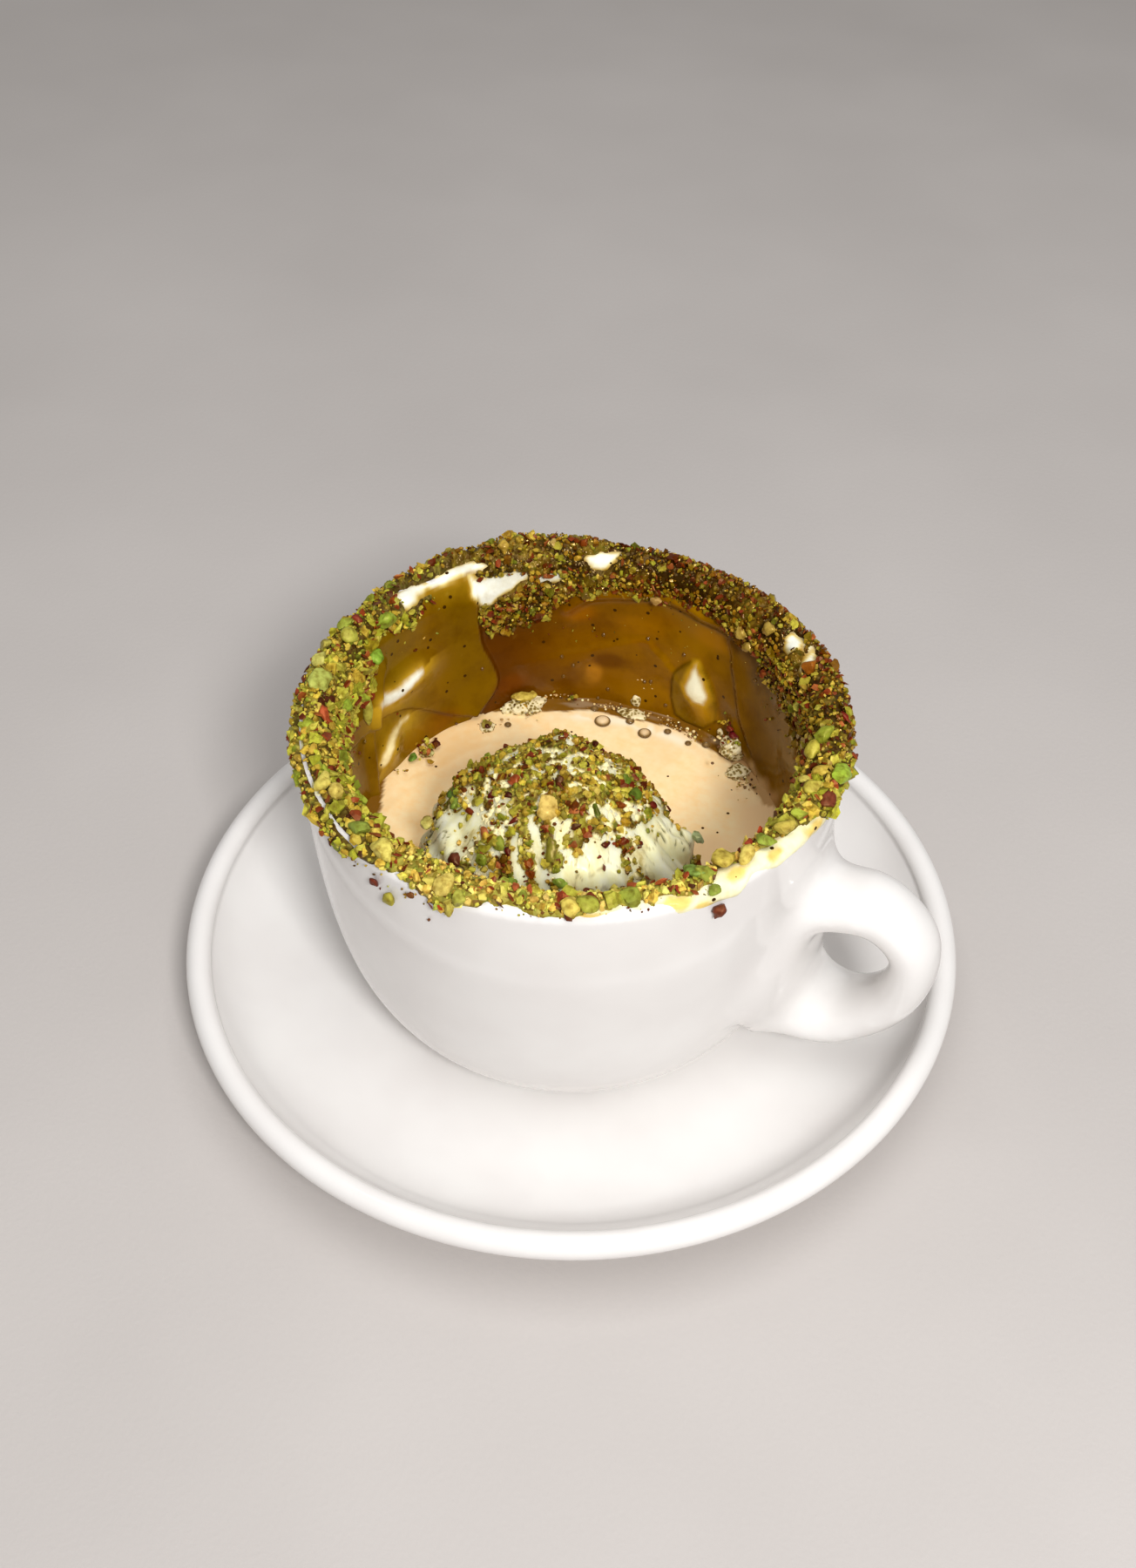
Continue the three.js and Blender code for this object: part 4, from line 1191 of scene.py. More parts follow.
def join_bits(name, corners, faces, colours, material, sharp_from):
    """One piece from lists of bits' corners in mm, triangles and colours. Bits are faceted, or
    smooth but for edges sharper than sharp_from degrees."""
    mesh = bpy.data.meshes.new(name)
    mesh.from_pydata((np.concatenate(corners) * MM).tolist(), [], np.concatenate(faces).tolist())
    mesh.validate()
    tint = mesh.attributes.new("tint", "FLOAT_COLOR", "POINT")
    tint.data.foreach_set("color", np.concatenate(colours).astype(np.float32).ravel())
    joined = piece(name, mesh, material, smooth=sharp_from is not None)
    if sharp_from is not None:
        mesh.set_sharp_from_angle(angle=math.radians(sharp_from))
    return joined


soaked_through = ["#a07a22", "#7e5a14", "#b8942e", "#6c3410", "#8a4418", "#a89c2e", "#ccae50", "#7c6a1a"]


def scatter(name, shapes, places, normals, sizes, lying, tints, material, sharp_from):
    """Joins one bit at each place: turned at random, or laid flat as far as lying is 1."""
    count = len(places)
    which = rng.integers(len(shapes), size=count)
    spin = rng.normal(size=(count, 3))
    axis = lying * normals + (1.0 - lying) * spin / np.linalg.norm(spin, axis=1, keepdims=True)
    axis /= np.linalg.norm(axis, axis=1, keepdims=True) + 1e-9
    side = np.cross(axis, rng.normal(size=(count, 3)))
    side /= np.linalg.norm(side, axis=1, keepdims=True) + 1e-9
    frames = np.stack([side, np.cross(axis, side), axis], axis=2) * np.asarray(sizes)[:, None, None]
    corners, faces, colours, total = [], [], [], 0
    for kind, (shape, shape_faces) in enumerate(shapes):
        chosen = np.flatnonzero(which == kind)
        if not len(chosen):
            continue
        bits = np.einsum("nij,vj->nvi", frames[chosen], shape) + places[chosen][:, None, :]
        corners.append(bits.reshape(-1, 3))
        steps = np.arange(len(chosen))[:, None, None] * len(shape) + total
        faces.append((shape_faces[None] + steps).reshape(-1, 3))
        colours.append(np.repeat(tints[chosen], len(shape), axis=0))
        total += len(chosen) * len(shape)
    return join_bits(name, corners, faces, colours, material, sharp_from)


def drawn_from(palette, count):
    """count linear colours drawn from a palette of hex ones."""
    return np.array([linear(c)[:3] for c in palette])[rng.integers(len(palette), size=count)]


def colours_from(palette, wet, spread):
    """A colour for each bit, varied in brightness, with its wetness in the fourth place. Wet bits
    have soaked through to olive and brown."""
    chosen = drawn_from(palette, len(wet))
    soaked = drawn_from(soaked_through, len(wet))
    chosen = np.where((rng.uniform(0.1, 1.0, len(wet)) < wet)[:, None], soaked, chosen)
    chosen = chosen * [1.03, 0.96, 0.56] * (1.0 + spread * rng.uniform(-1.0, 1.0, size=(len(wet), 1)))
    return np.concatenate([np.clip(chosen, 0.0, 1.0), np.asarray(wet)[:, None]], axis=1)


kernel_grain = MM / 0.9  # the broken flesh is mottled every 1.1 mm

# Dry broken kernel: dull and mottled, but shiny and darker where cream has soaked in.
kernel, kernel_shader = surface("pistachio_kernel", {
    "IOR": 1.5, "Roughness": 0.5, "Specular Tint": linear("#ffdc9c")})
kernel_place = add(kernel, "ShaderNodeTexCoord")
kernel_tint = add(kernel, "ShaderNodeAttribute", {"attribute_name": "tint"})
kernel_mottle = add(kernel, "ShaderNodeTexNoise", links={
    "Vector": kernel_place.outputs["Object"], "Scale": 1 / kernel_grain, "Detail": 3.0})
kernel_shade = add(kernel, "ShaderNodeValToRGB", links={"Fac": kernel_mottle.outputs["Fac"]}, stops=[
    (0.3, "#b9a98c"), (0.6, "#ffffff")])
kernel_tone = add(kernel, "ShaderNodeMix", {"data_type": "RGBA", "blend_type": "MULTIPLY"}, {
    "Factor": 1.0, 6: kernel_tint.outputs["Color"], 7: kernel_shade.outputs["Color"]})
kernel_dark = add(kernel, "ShaderNodeMix", {"data_type": "RGBA", "blend_type": "MULTIPLY"}, {
    "Factor": kernel_tint.outputs["Alpha"], 6: kernel_tone.outputs[2], 7: linear("#c2a870")})
join(kernel, kernel_dark.outputs[2], kernel_shader, "Base Color")
kernel_gloss = add(kernel, "ShaderNodeMapRange", links={
    "Value": kernel_tint.outputs["Alpha"], "To Min": 0.5, "To Max": 0.06})
join(kernel, kernel_gloss.outputs["Result"], kernel_shader, "Roughness")
kernel_bump = add(kernel, "ShaderNodeBump", links={
    "Height": kernel_mottle.outputs["Fac"], "Strength": 0.4, "Distance": 0.2 * MM})
join(kernel, kernel_bump.outputs["Normal"], kernel_shader, "Normal")


crust_radius = 48.0
spare = 0.55  # share of a cell by which a bit may lie to either side
drawn_area = 5200.0  # mm2 over which places on the scoop are drawn; the uncovered part is left out
mostly_small = 1.8  # power on an even draw of sizes


def rim_spots(pitch):
    """Degrees round, u, places, normals and mm of heap for bits on the rim, one to a cell of about
    pitch mm and as dense as the crust."""
    rounds = int(2 * math.pi * crust_radius / pitch)
    rows = np.arange(-2.5, 26.0, pitch)
    azimuth, u = np.meshgrid(np.arange(rounds) * 360.0 / rounds, rows)
    azimuth = azimuth.ravel() + rng.uniform(-spare, spare, azimuth.size) * 360.0 / rounds
    u = u.ravel() + rng.uniform(-spare, spare, u.size) * pitch
    place, out = on_crust(azimuth, u)
    cover = rim_cover(azimuth, u, place)
    kept = cover > rng.uniform(0.15, 1.0, len(cover))
    azimuth, u, place, out, cover = (part[kept] for part in (azimuth, u, place, out, cover))
    heap = cover * swell(azimuth, u) * (1.1 + 0.9 * clouds(place, 7.0, 21.0))
    return azimuth, u, place, out, heap


def scoop_spots(pitch):
    """Places, normals and mm of heap for bits on the scoop, as rim_spots."""
    count = int(drawn_area / pitch ** 2)
    share = rng.uniform(0.0, 1.0, count) ** 0.8
    turn_at = rng.uniform(0.0, 360.0, count)
    fair = rng.uniform(0.0, 1.0, count) < np.cos(share * math.pi / 2) ** scoop_fullness + 0.02
    share, turn_at = share[fair], turn_at[fair]
    place = on_scoop(turn_at, share)
    out = normals_of(on_scoop, turn_at, share)
    cover = scoop_cover(turn_at, share, place)
    cover = cover * (1.0 - 0.75 * eased(clouds(place * [1.0, 1.0, 0.6], 2.2, 37.0), 0.02, 0.22))
    kept = cover + 0.13 * (share > 0.25) > rng.uniform(0.1, 1.0, len(cover))
    turn_at, share, place, out, cover = (part[kept] for part in (turn_at, share, place, out, cover))
    return place, out, scoop_folds(turn_at, share, place) + 0.10 + 0.35 * cover


greens = ["#b4b84a", "#a0a63c", "#c8c662", "#88983a", "#b4b052", "#bcbc58"]
yellows = ["#dcc65c", "#ccb450", "#e2cf74", "#d6c46a", "#c0a44c"]
olives = ["#a8923a", "#bca64a", "#d0be6c", "#7c6224", "#583c12"]
skins = ["#6b2614", "#8a3820", "#4a1a0e", "#74281a", "#9a5230"]
skins_wet = 0.09  # the skins don't soak up the cream
brightest = 0.92  # of each linear colour

crumb_shapes = [broken_bit(1, (1.0, 0.85, 0.7), int(i % 3 == 0), 0.6, 100 + i) for i in range(9)]
bit_shapes = [broken_bit(1, (1.15, 0.85, 0.65), 3, 0.5, 200 + i) for i in range(12)]
chunk_shapes = [broken_bit(2, (1.25, 0.9, 0.65), 5, 0.8, 300 + i) for i in range(12)]
skin_shapes = [broken_bit(1, (1.2, 0.9, 0.22), 2, 0.9, 400 + i) for i in range(8)]


def gather(rim_pitch, rim_sizes, scoop_pitch, scoop_sizes, share_kept=1.0, proud=0.0, dry_only=0.0,
           patchy=False):
    """Places, normals, sizes, wetness and painted light of bits on the rim and the scoop, which have
    their own smallest and largest sizes in mm. The painted light makes the front of the rim paler, and
    is a flat 0.94 on the scoop. Their middles stand out by proud of their size. A share dry_only is left
    out where the crust is wet, and patchy ones lie in patches on the scoop."""
    azimuth, _, place, out, heap = rim_spots(rim_pitch)
    wet = wetness(azimuth)
    kept = rng.uniform(size=len(wet)) < share_kept * (1.0 - dry_only * wet)
    azimuth, place, out, heap, wet = (part[kept] for part in (azimuth, place, out, heap, wet))
    smallest, largest = rim_sizes
    grown = rng.uniform(size=len(place)) ** mostly_small * (1.0 - 0.45 * wet)
    sizes = smallest + (largest - smallest) * grown
    wet = np.clip(wet * rng.uniform(0.3, 1.1, len(wet)), 0.0, 1.0)
    top_place, top_out, top_heap = scoop_spots(scoop_pitch)
    if patchy:
        chosen = clouds(top_place, 3.6, 55.0) > 0.0
        top_place, top_out, top_heap = top_place[chosen], top_out[chosen], top_heap[chosen]
    smallest, largest = scoop_sizes
    top_sizes = smallest + (largest - smallest) * rng.uniform(size=len(top_place)) ** mostly_small
    top_wet = np.clip(0.35 + 0.6 * clouds(top_place, 6.0, 33.0), 0.0, 0.7)
    # Painted light: bits at the front of the rim are tinted paler; those on the scoop get a flat 0.94.
    painted_light = 1.0 + front_painted_light(azimuth)[:, None] * [0.4, 0.33, 1.1]
    top_pale = np.full((len(top_sizes), 3), 0.94)
    place, out, heap, sizes, wet, painted_light = (np.concatenate(both) for both in [
        (place, top_place), (out, top_out), (heap, top_heap), (sizes, top_sizes), (wet, top_wet),
        (painted_light, top_pale)])
    return place + out * (heap + proud * sizes)[:, None], out, sizes, wet, painted_light


for name, shapes, lying, palette, sharp_from, spots in [
    ("nut_crumbs", crumb_shapes, 0.2, olives + yellows + greens, None, dict(
        rim_pitch=0.85, rim_sizes=(0.5, 1.05), scoop_pitch=1.0, scoop_sizes=(0.5, 0.9), proud=0.1)),
    ("nut_bits", bit_shapes, 0.45, greens + yellows + olives[:2], None, dict(
        rim_pitch=1.3, rim_sizes=(1.1, 2.4), scoop_pitch=1.15, scoop_sizes=(0.9, 2.3))),
    ("nut_chunks", chunk_shapes, 0.5, yellows[:2] + greens, 32.0, dict(
        rim_pitch=3.0, rim_sizes=(2.2, 3.8), scoop_pitch=5.0, scoop_sizes=(1.8, 3.0),
        share_kept=0.8, proud=0.04, dry_only=0.8)),
    ("nut_skins", skin_shapes, 0.5, skins, None, dict(
        rim_pitch=1.7, rim_sizes=(0.9, 2.4), scoop_pitch=1.5, scoop_sizes=(0.7, 1.8),
        share_kept=0.62, proud=0.22, dry_only=0.1, patchy=True)),
]:
    place, out, sizes, wet, painted_light = gather(**spots)
    if palette == skins:
        wet = np.full(len(wet), skins_wet)
    # The painted light tint is multiplied into the bits' colours.
    tints = colours_from(palette, wet, 0.28) * np.column_stack([painted_light, np.ones(len(painted_light))])
    tints = np.clip(tints, 0.0, brightest)
    bits = scatter(name, shapes, place, out, sizes, lying, tints, kernel, sharp_from)
    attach(bits, "root")
    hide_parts("rim_nuts", "scoop_nuts")

# ----------------------------------------------------------------------------------------------
# Big pieces: halves and thirds of pistachio kernel that stand out of the crust, some green right
# through, some browned yellow, with a few folded skins and bits that fell on the cup's side.

fresh_green, browned_yellow = "#9db53a", "#e0ca66"
rim_pieces = [  # degrees round, u, length, width and thickness in mm, colour
    (171, 5.4, 4.6, 3.8, 2.6, fresh_green), (182, 4.2, 4.0, 3.6, 2.4, "#b7b648"),
    (179, 8.6, 4.2, 3.0, 2.2, "#8cb43a"), (179, 2.6, 3.6, 2.8, 2.2, "#a0b040"),
    (199, 3.8, 6.0, 4.2, 1.8, "#b3ba58"), (192, 2.6, 3.6, 3.2, 2.2, "#c3bf62"),
    (187, 2.2, 3.2, 2.6, 2.0, "#bcb450"), (186, 18.0, 6.4, 3.0, 2.2, "#b4ac44"),
    (199, 8.2, 3.2, 2.6, 2.0, fresh_green), (256, 2.6, 5.2, 4.2, 2.8, "#dacb62"),
    (248, 3.0, 5.0, 3.0, 2.2, "#8a9a3c"), (271, 2.2, 4.2, 3.8, 2.6, browned_yellow),
    (275, 1.4, 3.4, 3.0, 2.2, "#b4b44a"), (232, 3.0, 3.8, 3.4, 2.4, "#d4c45e"),
    (236, 3.8, 4.4, 3.4, 2.4, "#d8c25e"), (209, 5.0, 3.8, 2.4, 1.2, "#b5502c"),
    (133, 3.0, 3.4, 2.6, 2.2, "#d8bc54"), (128, 1.8, 3.6, 2.6, 2.0, "#9aa640"),
    (121, 3.4, 2.4, 2.0, 1.8, "#e6d080"), (176, 3.4, 2.8, 2.2, 1.2, "#8a3426"),
    (93, 10.2, 3.2, 2.2, 1.8, "#d9b878"), (66, 8.6, 3.4, 3.0, 2.2, "#dcc668"),
    (58, 5.4, 3.2, 2.8, 2.2, "#d6c064"), (63, 10.6, 2.8, 2.2, 1.8, "#c8b25a"),
    (16, 4.6, 5.2, 3.6, 2.6, "#a8b83e"), (6, 1.6, 7.6, 3.6, 2.6, "#a5c03c"),
    (12, 5.4, 4.6, 3.2, 2.4, "#c9c04a"), (359, 3.8, 3.8, 3.2, 2.4, "#bcae44"),
    (4, 3.8, 3.8, 2.6, 2.0, "#d4b84a"), (358, 1.6, 4.4, 2.8, 1.8, "#7c3a26"),
    (340, 3.8, 5.0, 3.8, 1.8, "#96a83e"), (330, 4.6, 4.8, 4.0, 2.8, "#c8b24c"),
    (334, 3.4, 4.2, 3.2, 2.4, "#e2cc66"), (323, 4.6, 4.8, 3.6, 2.0, "#7e9a44"),
    (40, 4.6, 3.4, 3.0, 2.2, "#b06a1c"),
    (345, 3.4, 4.2, 3.0, 2.2, "#c8b44e"), (1, 5.0, 3.4, 2.2, 1.8, "#d8c860"),
    (23, 2.2, 2.6, 1.4, 0.9, "#8c2220"), (15, 7.4, 3.0, 2.2, 1.6, "#6e2a22"),
    (299, 2.6, 4.4, 3.8, 2.4, "#a9aa3e"), (296, 2.4, 4.6, 3.4, 2.4, "#e2cc60"),
    (255, -3.4, 2.8, 2.0, 1.2, "#6c2418"), (259, -5.2, 4.0, 2.4, 1.8, "#a8a03c"),
    (265, 0.0, 1.6, 1.2, 1.0, "#7c4a24"), (268, -5.6, 0.9, 0.7, 0.6, "#6a3a20"),
    (325, -2.6, 3.4, 2.8, 2.4, "#6e3020"), (324, 1.4, 2.8, 2.2, 1.6, "#8c9c3c"),
]


def kernel_piece(size, seed):
    """Corners and triangles of a rounded kernel piece of that length, width and thickness in mm,
    with three clean breaks and softened edges."""
    bm = bmesh.new()
    bmesh.ops.create_icosphere(bm, subdivisions=3, radius=0.5)
    for vert in bm.verts:
        push = 1.0 + 0.36 * noise.noise(vert.co * 2.2 + Vector((seed, 1.0, 0.0)))
        push += 0.16 * noise.noise(vert.co * 7.0 + Vector((0.0, seed, 0.0)))
        vert.co = squeezed(vert.co, size) * push
    break_off(bm, size, 3, 0.26, 0.4, seed)
    bmesh.ops.triangulate(bm, faces=bm.faces)
    bmesh.ops.remove_doubles(bm, verts=bm.verts, dist=0.08)
    soften(bm, bm.verts, 1)
    bmesh.ops.recalc_face_normals(bm, faces=bm.faces)
    return as_arrays(bm)


big_corners, big_faces, big_colours = [], [], []


def lay(size, seed, spot, turn_to, colour, wet):
    """Adds a kernel piece with its middle at spot in mm."""
    corners, faces = kernel_piece(size, seed)
    big_faces.append(faces + sum(len(part) for part in big_corners))
    big_corners.append(corners @ np.array(turn_to).T + np.array(spot))
    big_colours.append(np.repeat([(*linear(colour)[:3], wet)], len(corners), axis=0))


def upright_on(axis, spin):
    """The turn that points a piece's thickness along the axis, and spins it about it."""
    return axis.to_track_quat("Z", "Y").to_matrix() @ Matrix.Rotation(spin, 3, "Z")


scoop_pieces = [  # degrees round the scoop, share of its height, mm out, then as above
    (280.5, 0.85, 0.9, 5.4, 4.6, 3.0, "#ecd074"), (232.5, 0.51, 0.5, 3.4, 3.0, 1.7, "#6a3426"),
    (216, 0.75, 0.6, 1.8, 1.6, 1.0, "#5a1412"), (229.5, 0.81, 0.6, 1.8, 1.5, 1.0, "#4a1010"),
    (211.5, 0.85, 0.6, 2.4, 2.2, 1.2, "#a04824"), (58.5, 0.90, 0.7, 1.8, 1.3, 0.9, "#3a0e0c"),
    (238.5, 0.66, 0.7, 3.4, 1.8, 1.0, "#b86c40"), (27, 0.71, 0.6, 3.8, 3.2, 1.4, "#66842a"),
    (37.5, 0.75, 0.6, 2.8, 2.4, 1.4, "#708f2e"), (247.5, 0.58, 0.8, 2.6, 2.4, 1.8, "#82922c"),
    (253.5, 0.66, 0.7, 3.0, 2.6, 1.6, "#94a23a"), (271.5, 0.56, 0.6, 3.0, 2.6, 1.4, "#98bf46"),
    (291, 0.70, 0.8, 6.5, 1.8, 1.4, "#86822a"), (339, 0.80, 0.6, 3.6, 1.4, 1.0, "#627822"),
    (297, 0.59, 0.6, 2.8, 2.4, 1.4, "#9abb4c"), (7.5, 0.61, 0.3, 1.5, 1.3, 0.8, "#98a444"),
    (192, 0.55, 0.6, 3.0, 2.6, 1.6, "#56762e"), (202.5, 0.58, 0.5, 2.4, 2.2, 1.4, "#84a040"),
    (28.5, 0.61, 0.6, 2.6, 1.8, 1.2, "#74201a"), (331.5, 0.68, 0.4, 2.2, 1.3, 0.9, "#5a1a14"),
    (324, 0.65, 0.3, 0.9, 0.8, 0.6, "#7e1414"), (355.5, 0.61, 0.5, 1.4, 1.0, 0.7, "#7c2a20"),
    (312, 0.55, 0.6, 2.8, 1.6, 1.2, "#6e1512"), (330, 0.51, 0.5, 2.2, 1.4, 1.0, "#7a2a1c"),
    (261, 0.65, 0.6, 1.8, 1.6, 1.0, "#5c1010"), (253.5, 0.76, 0.6, 2.8, 1.0, 0.7, "#6a1c18"),
    (78, 0.75, 0.6, 1.8, 1.4, 0.9, "#5a1a12"), (297, 0.95, 0.7, 3.0, 0.9, 0.7, "#70341c"),
    (46.5, 0.68, 0.5, 2.2, 1.6, 1.0, "#8a3a24"), (81, 0.79, 1.6, 1.6, 1.1, 1.6, "#4a0e10"),
    (199, 0.42, 1.2, 3.8, 2.8, 2.6, "#d2cc70"), (31.5, 0.36, 1.0, 3.0, 2.6, 1.8, "#b9cfa0"),
]
for i, (turn_at, level, stands, *size, colour) in enumerate(scoop_pieces):
    at, level = np.array([float(turn_at)]), np.array([level])
    spot = on_scoop(at, level)
    out = Vector(normals_of(on_scoop, at, level)[0])
    spot = Vector(spot[0]) + out * (stands + float(scoop_folds(at, level, spot)[0]))
    turn_to = upright_on(out + Vector(rng.normal(size=3)) * 0.15, rng.uniform(0.0, math.pi))
    if size[0] > 6.0:  # the long sliver lies level along the side
        turn_to = upright_on(out, math.pi / 2)
    lay(size, 700 + i, spot, turn_to, colour, 0.35)
for i, (azimuth, along, *size, colour) in enumerate(rim_pieces):
    spot, out = on_crust(np.array([float(azimuth)]), np.array([along]))
    on_side = along < -1.0  # stuck to the cup's side, not in the crust
    stands = -0.5 if on_side else 0.9 * float(swell(azimuth, along)) + 0.15
    spot = Vector(spot[0]) + Vector(out[0]) * (stands + 0.32 * size[2])
    turn_to = upright_on(Vector(out[0]) + Vector(rng.normal(size=3)) * 0.25, rng.uniform(0.0, math.pi))
    lay(size, 500 + i, spot, turn_to, colour, 0.7 * float(wetness(azimuth)))
floating_pieces = [  # x, y and mm above the coffee, then as above
    (-28.0, 33.0, 2.5, 5.6, 3.0, 2.2, "#e0cc5c"), (-23.6, 38.2, 1.8, 2.2, 1.8, 1.5, "#d0bc50"),
    (-31.6, 22.9, 0.9, 2.6, 2.2, 1.5, "#a89a48"), (-31.0, 22.2, 1.1, 1.4, 1.2, 1.0, "#4a1a1a"),
    (-38.4, 12.6, 0.8, 2.2, 1.8, 1.3, "#5a1c1c"), (-40.8, 7.2, 0.6, 2.8, 1.8, 1.0, "#6f9a3c"),
    (-38.0, 9.8, 0.7, 1.8, 1.5, 1.0, "#c8c88a"), (-39.8, 9.6, 0.6, 1.7, 1.3, 0.9, "#8a2a1c"),
    (17.4, 41.0, 6.4, 2.2, 1.8, 1.4, "#6a1c1c"), (18.6, 38.8, 5.2, 2.6, 2.0, 1.4, "#7a1c28"),
    (17.4, 39.4, 6.2, 1.8, 1.5, 1.2, "#8a2a20"), (17.6, 38.6, 3.6, 1.6, 1.3, 1.0, "#b09a48"),
]
for i, (x, y, above, *size, colour) in enumerate(floating_pieces):
    along_wall = Matrix.Rotation(math.atan2(y, x) + math.pi / 2, 3, "Z")
    lay(size, 900 + i, (x, y, coffee_level + above), along_wall, colour, 0.4)
big_pieces = join_bits("big_nut_pieces", big_corners, big_faces, big_colours, kernel, 40.0)
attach(big_pieces, "root")
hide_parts("rim_nuts", "scoop_nuts")

# ----------------------------------------------------------------------------------------------
# Froth: milky bubbles that the stirred coffee left along its back edge, round a nut at the left
# of it, up the wall and round a clot of crumbs on the right.

def kept_off_wall(spot, gap, climb):
    """The place in mm, moved in to gap from the porcelain if it is past that, and up by climb of
    what it was past it."""
    reach = math.hypot(spot[0], spot[1])
    limit = inner_radius - gap
    share = min(1.0, limit / reach)
    return spot[0] * share, spot[1] * share, spot[2] + climb * max(0.0, reach - limit)


smallest_bubble = 0.28
froth_groups = [  # x, y, mm above the coffee, spread along the edge and across it, bubbles, largest
    (-28.0, 31.0, 0.5, 7.6, 6.4, 26, 0.8), (-22.0, 38.0, 1.0, 3.4, 1.2, 26, 0.8),
    (18.9, 39.0, 3.0, 4.4, 4.6, 60, 0.9), (24.0, 32.0, 0.0, 3.0, 2.0, 30, 0.8),
    (-8.0, 41.0, 0.0, 9.0, 1.3, 90, 0.8), (6.0, 41.2, 0.0, 6.0, 1.2, 60, 0.9),
    (-31.5, 22.9, 0.0, 1.6, 1.4, 26, 0.9),
]
froth_places, froth_sizes = [], []
for x, y, above, along, across, count, largest in froth_groups:
    outward = Vector((x, y, 0.0)).normalized()
    sideways = Vector((-outward.y, outward.x, 0.0))
    for a, b, size in zip(rng.normal(size=count), rng.normal(size=count), rng.uniform(size=count)):
        spot = Vector((x, y, coffee_level + above))
        spot += sideways * a * along * 0.5 + outward * b * across * 0.5
        froth_places.append(kept_off_wall(spot, 2.6, 1.0))
        froth_sizes.append(smallest_bubble + (largest - smallest_bubble) * size ** 2.6)
climbing_froth = [(100, 40.0, 44.5), (97, 41.0, 47.0), (66, 40.0, 46.0)]  # degrees round, heights
climbing_count = 40
for azimuth, low, high in climbing_froth:
    heights = rng.uniform(low, high, climbing_count)
    for height, size in zip(heights, rng.uniform(size=climbing_count)):
        angle = math.radians(azimuth + rng.normal() * 1.3)
        reach = inner_radius - 2.2
        froth_places.append((reach * math.cos(angle), reach * math.sin(angle), height))
        froth_sizes.append(0.25 + 0.6 * size ** 2)
flat_ball = bmesh.new()
bmesh.ops.create_icosphere(flat_ball, subdivisions=2, radius=0.5,
                           matrix=Matrix.Diagonal((1.0, 1.0, 0.75, 1.0)))
ball = as_arrays(flat_ball)

bubble_cloud = MM / 0.8  # the froth's tone varies from bubble to bubble, every 1.3 mm

# Milk film round air: glossy pale beads, some of them tan.
film, film_shader = surface("milk_froth", {"IOR": 1.34, "Roughness": 0.08})
film_tint = add(film, "ShaderNodeAttribute", {"attribute_name": "tint"})
film_place = add(film, "ShaderNodeTexCoord")
film_cloud = add(film, "ShaderNodeTexNoise", links={
    "Vector": film_place.outputs["Object"], "Scale": 1 / bubble_cloud, "Detail": 2.0})
film_tone = add(film, "ShaderNodeValToRGB", links={"Fac": film_cloud.outputs["Fac"]}, stops=[
    (0.3, "#d8c39a"), (0.6, "#ffffff")])
film_colour = add(film, "ShaderNodeMix", {"data_type": "RGBA", "blend_type": "MULTIPLY"}, {
    "Factor": 1.0, 6: film_tint.outputs["Color"], 7: film_tone.outputs["Color"]})
join(film, film_colour.outputs[2], film_shader, "Base Color")

fine_bubble = 0.8 * MM
foam_drift = MM / 0.26  # the mounds are darker and paler over 3.8 mm

# Fine foam: a soft tan mass, its pores darkened with painted shade.
foam, foam_shader = surface("fine_foam", {"IOR": 1.34, "Roughness": 0.2})
foam_place = add(foam, "ShaderNodeTexCoord")
foam_cells = add(foam, "ShaderNodeTexVoronoi", links={
    "Vector": foam_place.outputs["Object"], "Scale": 1 / fine_bubble, "Randomness": 1.0})
foam_cloud = add(foam, "ShaderNodeTexNoise", links={
    "Vector": foam_place.outputs["Object"], "Scale": 1 / foam_drift, "Detail": 2.0})
foam_mixed = add(foam, "ShaderNodeMath", {"operation": "MULTIPLY_ADD"}, {
    0: foam_cloud.outputs["Fac"], 1: 0.9, 2: foam_cells.outputs["Distance"]})
foam_pore_shade = add(foam, "ShaderNodeValToRGB", links={"Fac": foam_mixed.outputs[0]}, stops=[
    (0.45, "#4a320e"), (0.64, "#7e6430"), (0.86, "#a8945a"), (1.0, "#ecdcae")])
join(foam, foam_pore_shade.outputs["Color"], foam_shader, "Base Color")

foam_mounds = [  # x, y, mm above the coffee, half sizes across the edge, along it and upwards
    (-28.2, 33.2, 0.0, 4.0, 4.9, 1.7), (19.0, 39.2, 2.0, 3.4, 2.7, 2.8), (16.6, 42.4, 3.4, 1.1, 2.4, 2.6),
    (21.8, 34.2, 0.0, 2.6, 2.2, 0.9), (-6.0, 43.4, 1.2, 0.6, 1.2, 1.6), (-39.2, 10.3, 0.0, 1.5, 1.7, 0.8),
    (-31.6, 23.0, 0.0, 1.7, 1.8, 0.7), (-5.6, 40.6, 0.0, 1.6, 3.2, 0.5), (14.6, 41.8, 1.6, 0.6, 1.0, 1.4),
]
foam_mesh = bmesh.new()
for x, y, above, *half in foam_mounds:
    middle = Vector((x, y, coffee_level + above))
    outward = Matrix.Rotation(math.atan2(y, x), 4, "Z")
    mound = bmesh.ops.create_icosphere(foam_mesh, subdivisions=5, radius=1.0)["verts"]
    for vert in mound:
        spot = squeezed(vert.co, half)
        spot *= 1.0 + 0.28 * noise.noise(spot / 1.4 + Vector((x, y, 0.0)))
        cell = noise.voronoi((spot + middle) / 0.75)[0][0]
        spot = outward @ (spot * (1.0 + 0.16 * (0.5 - cell))) + middle
        vert.co = Vector(kept_off_wall(spot, 1.6, 0.0)) * MM
foam_piece = piece("coffee_foam", to_mesh(foam_mesh, "coffee_foam"), foam)
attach(foam_piece, "root")

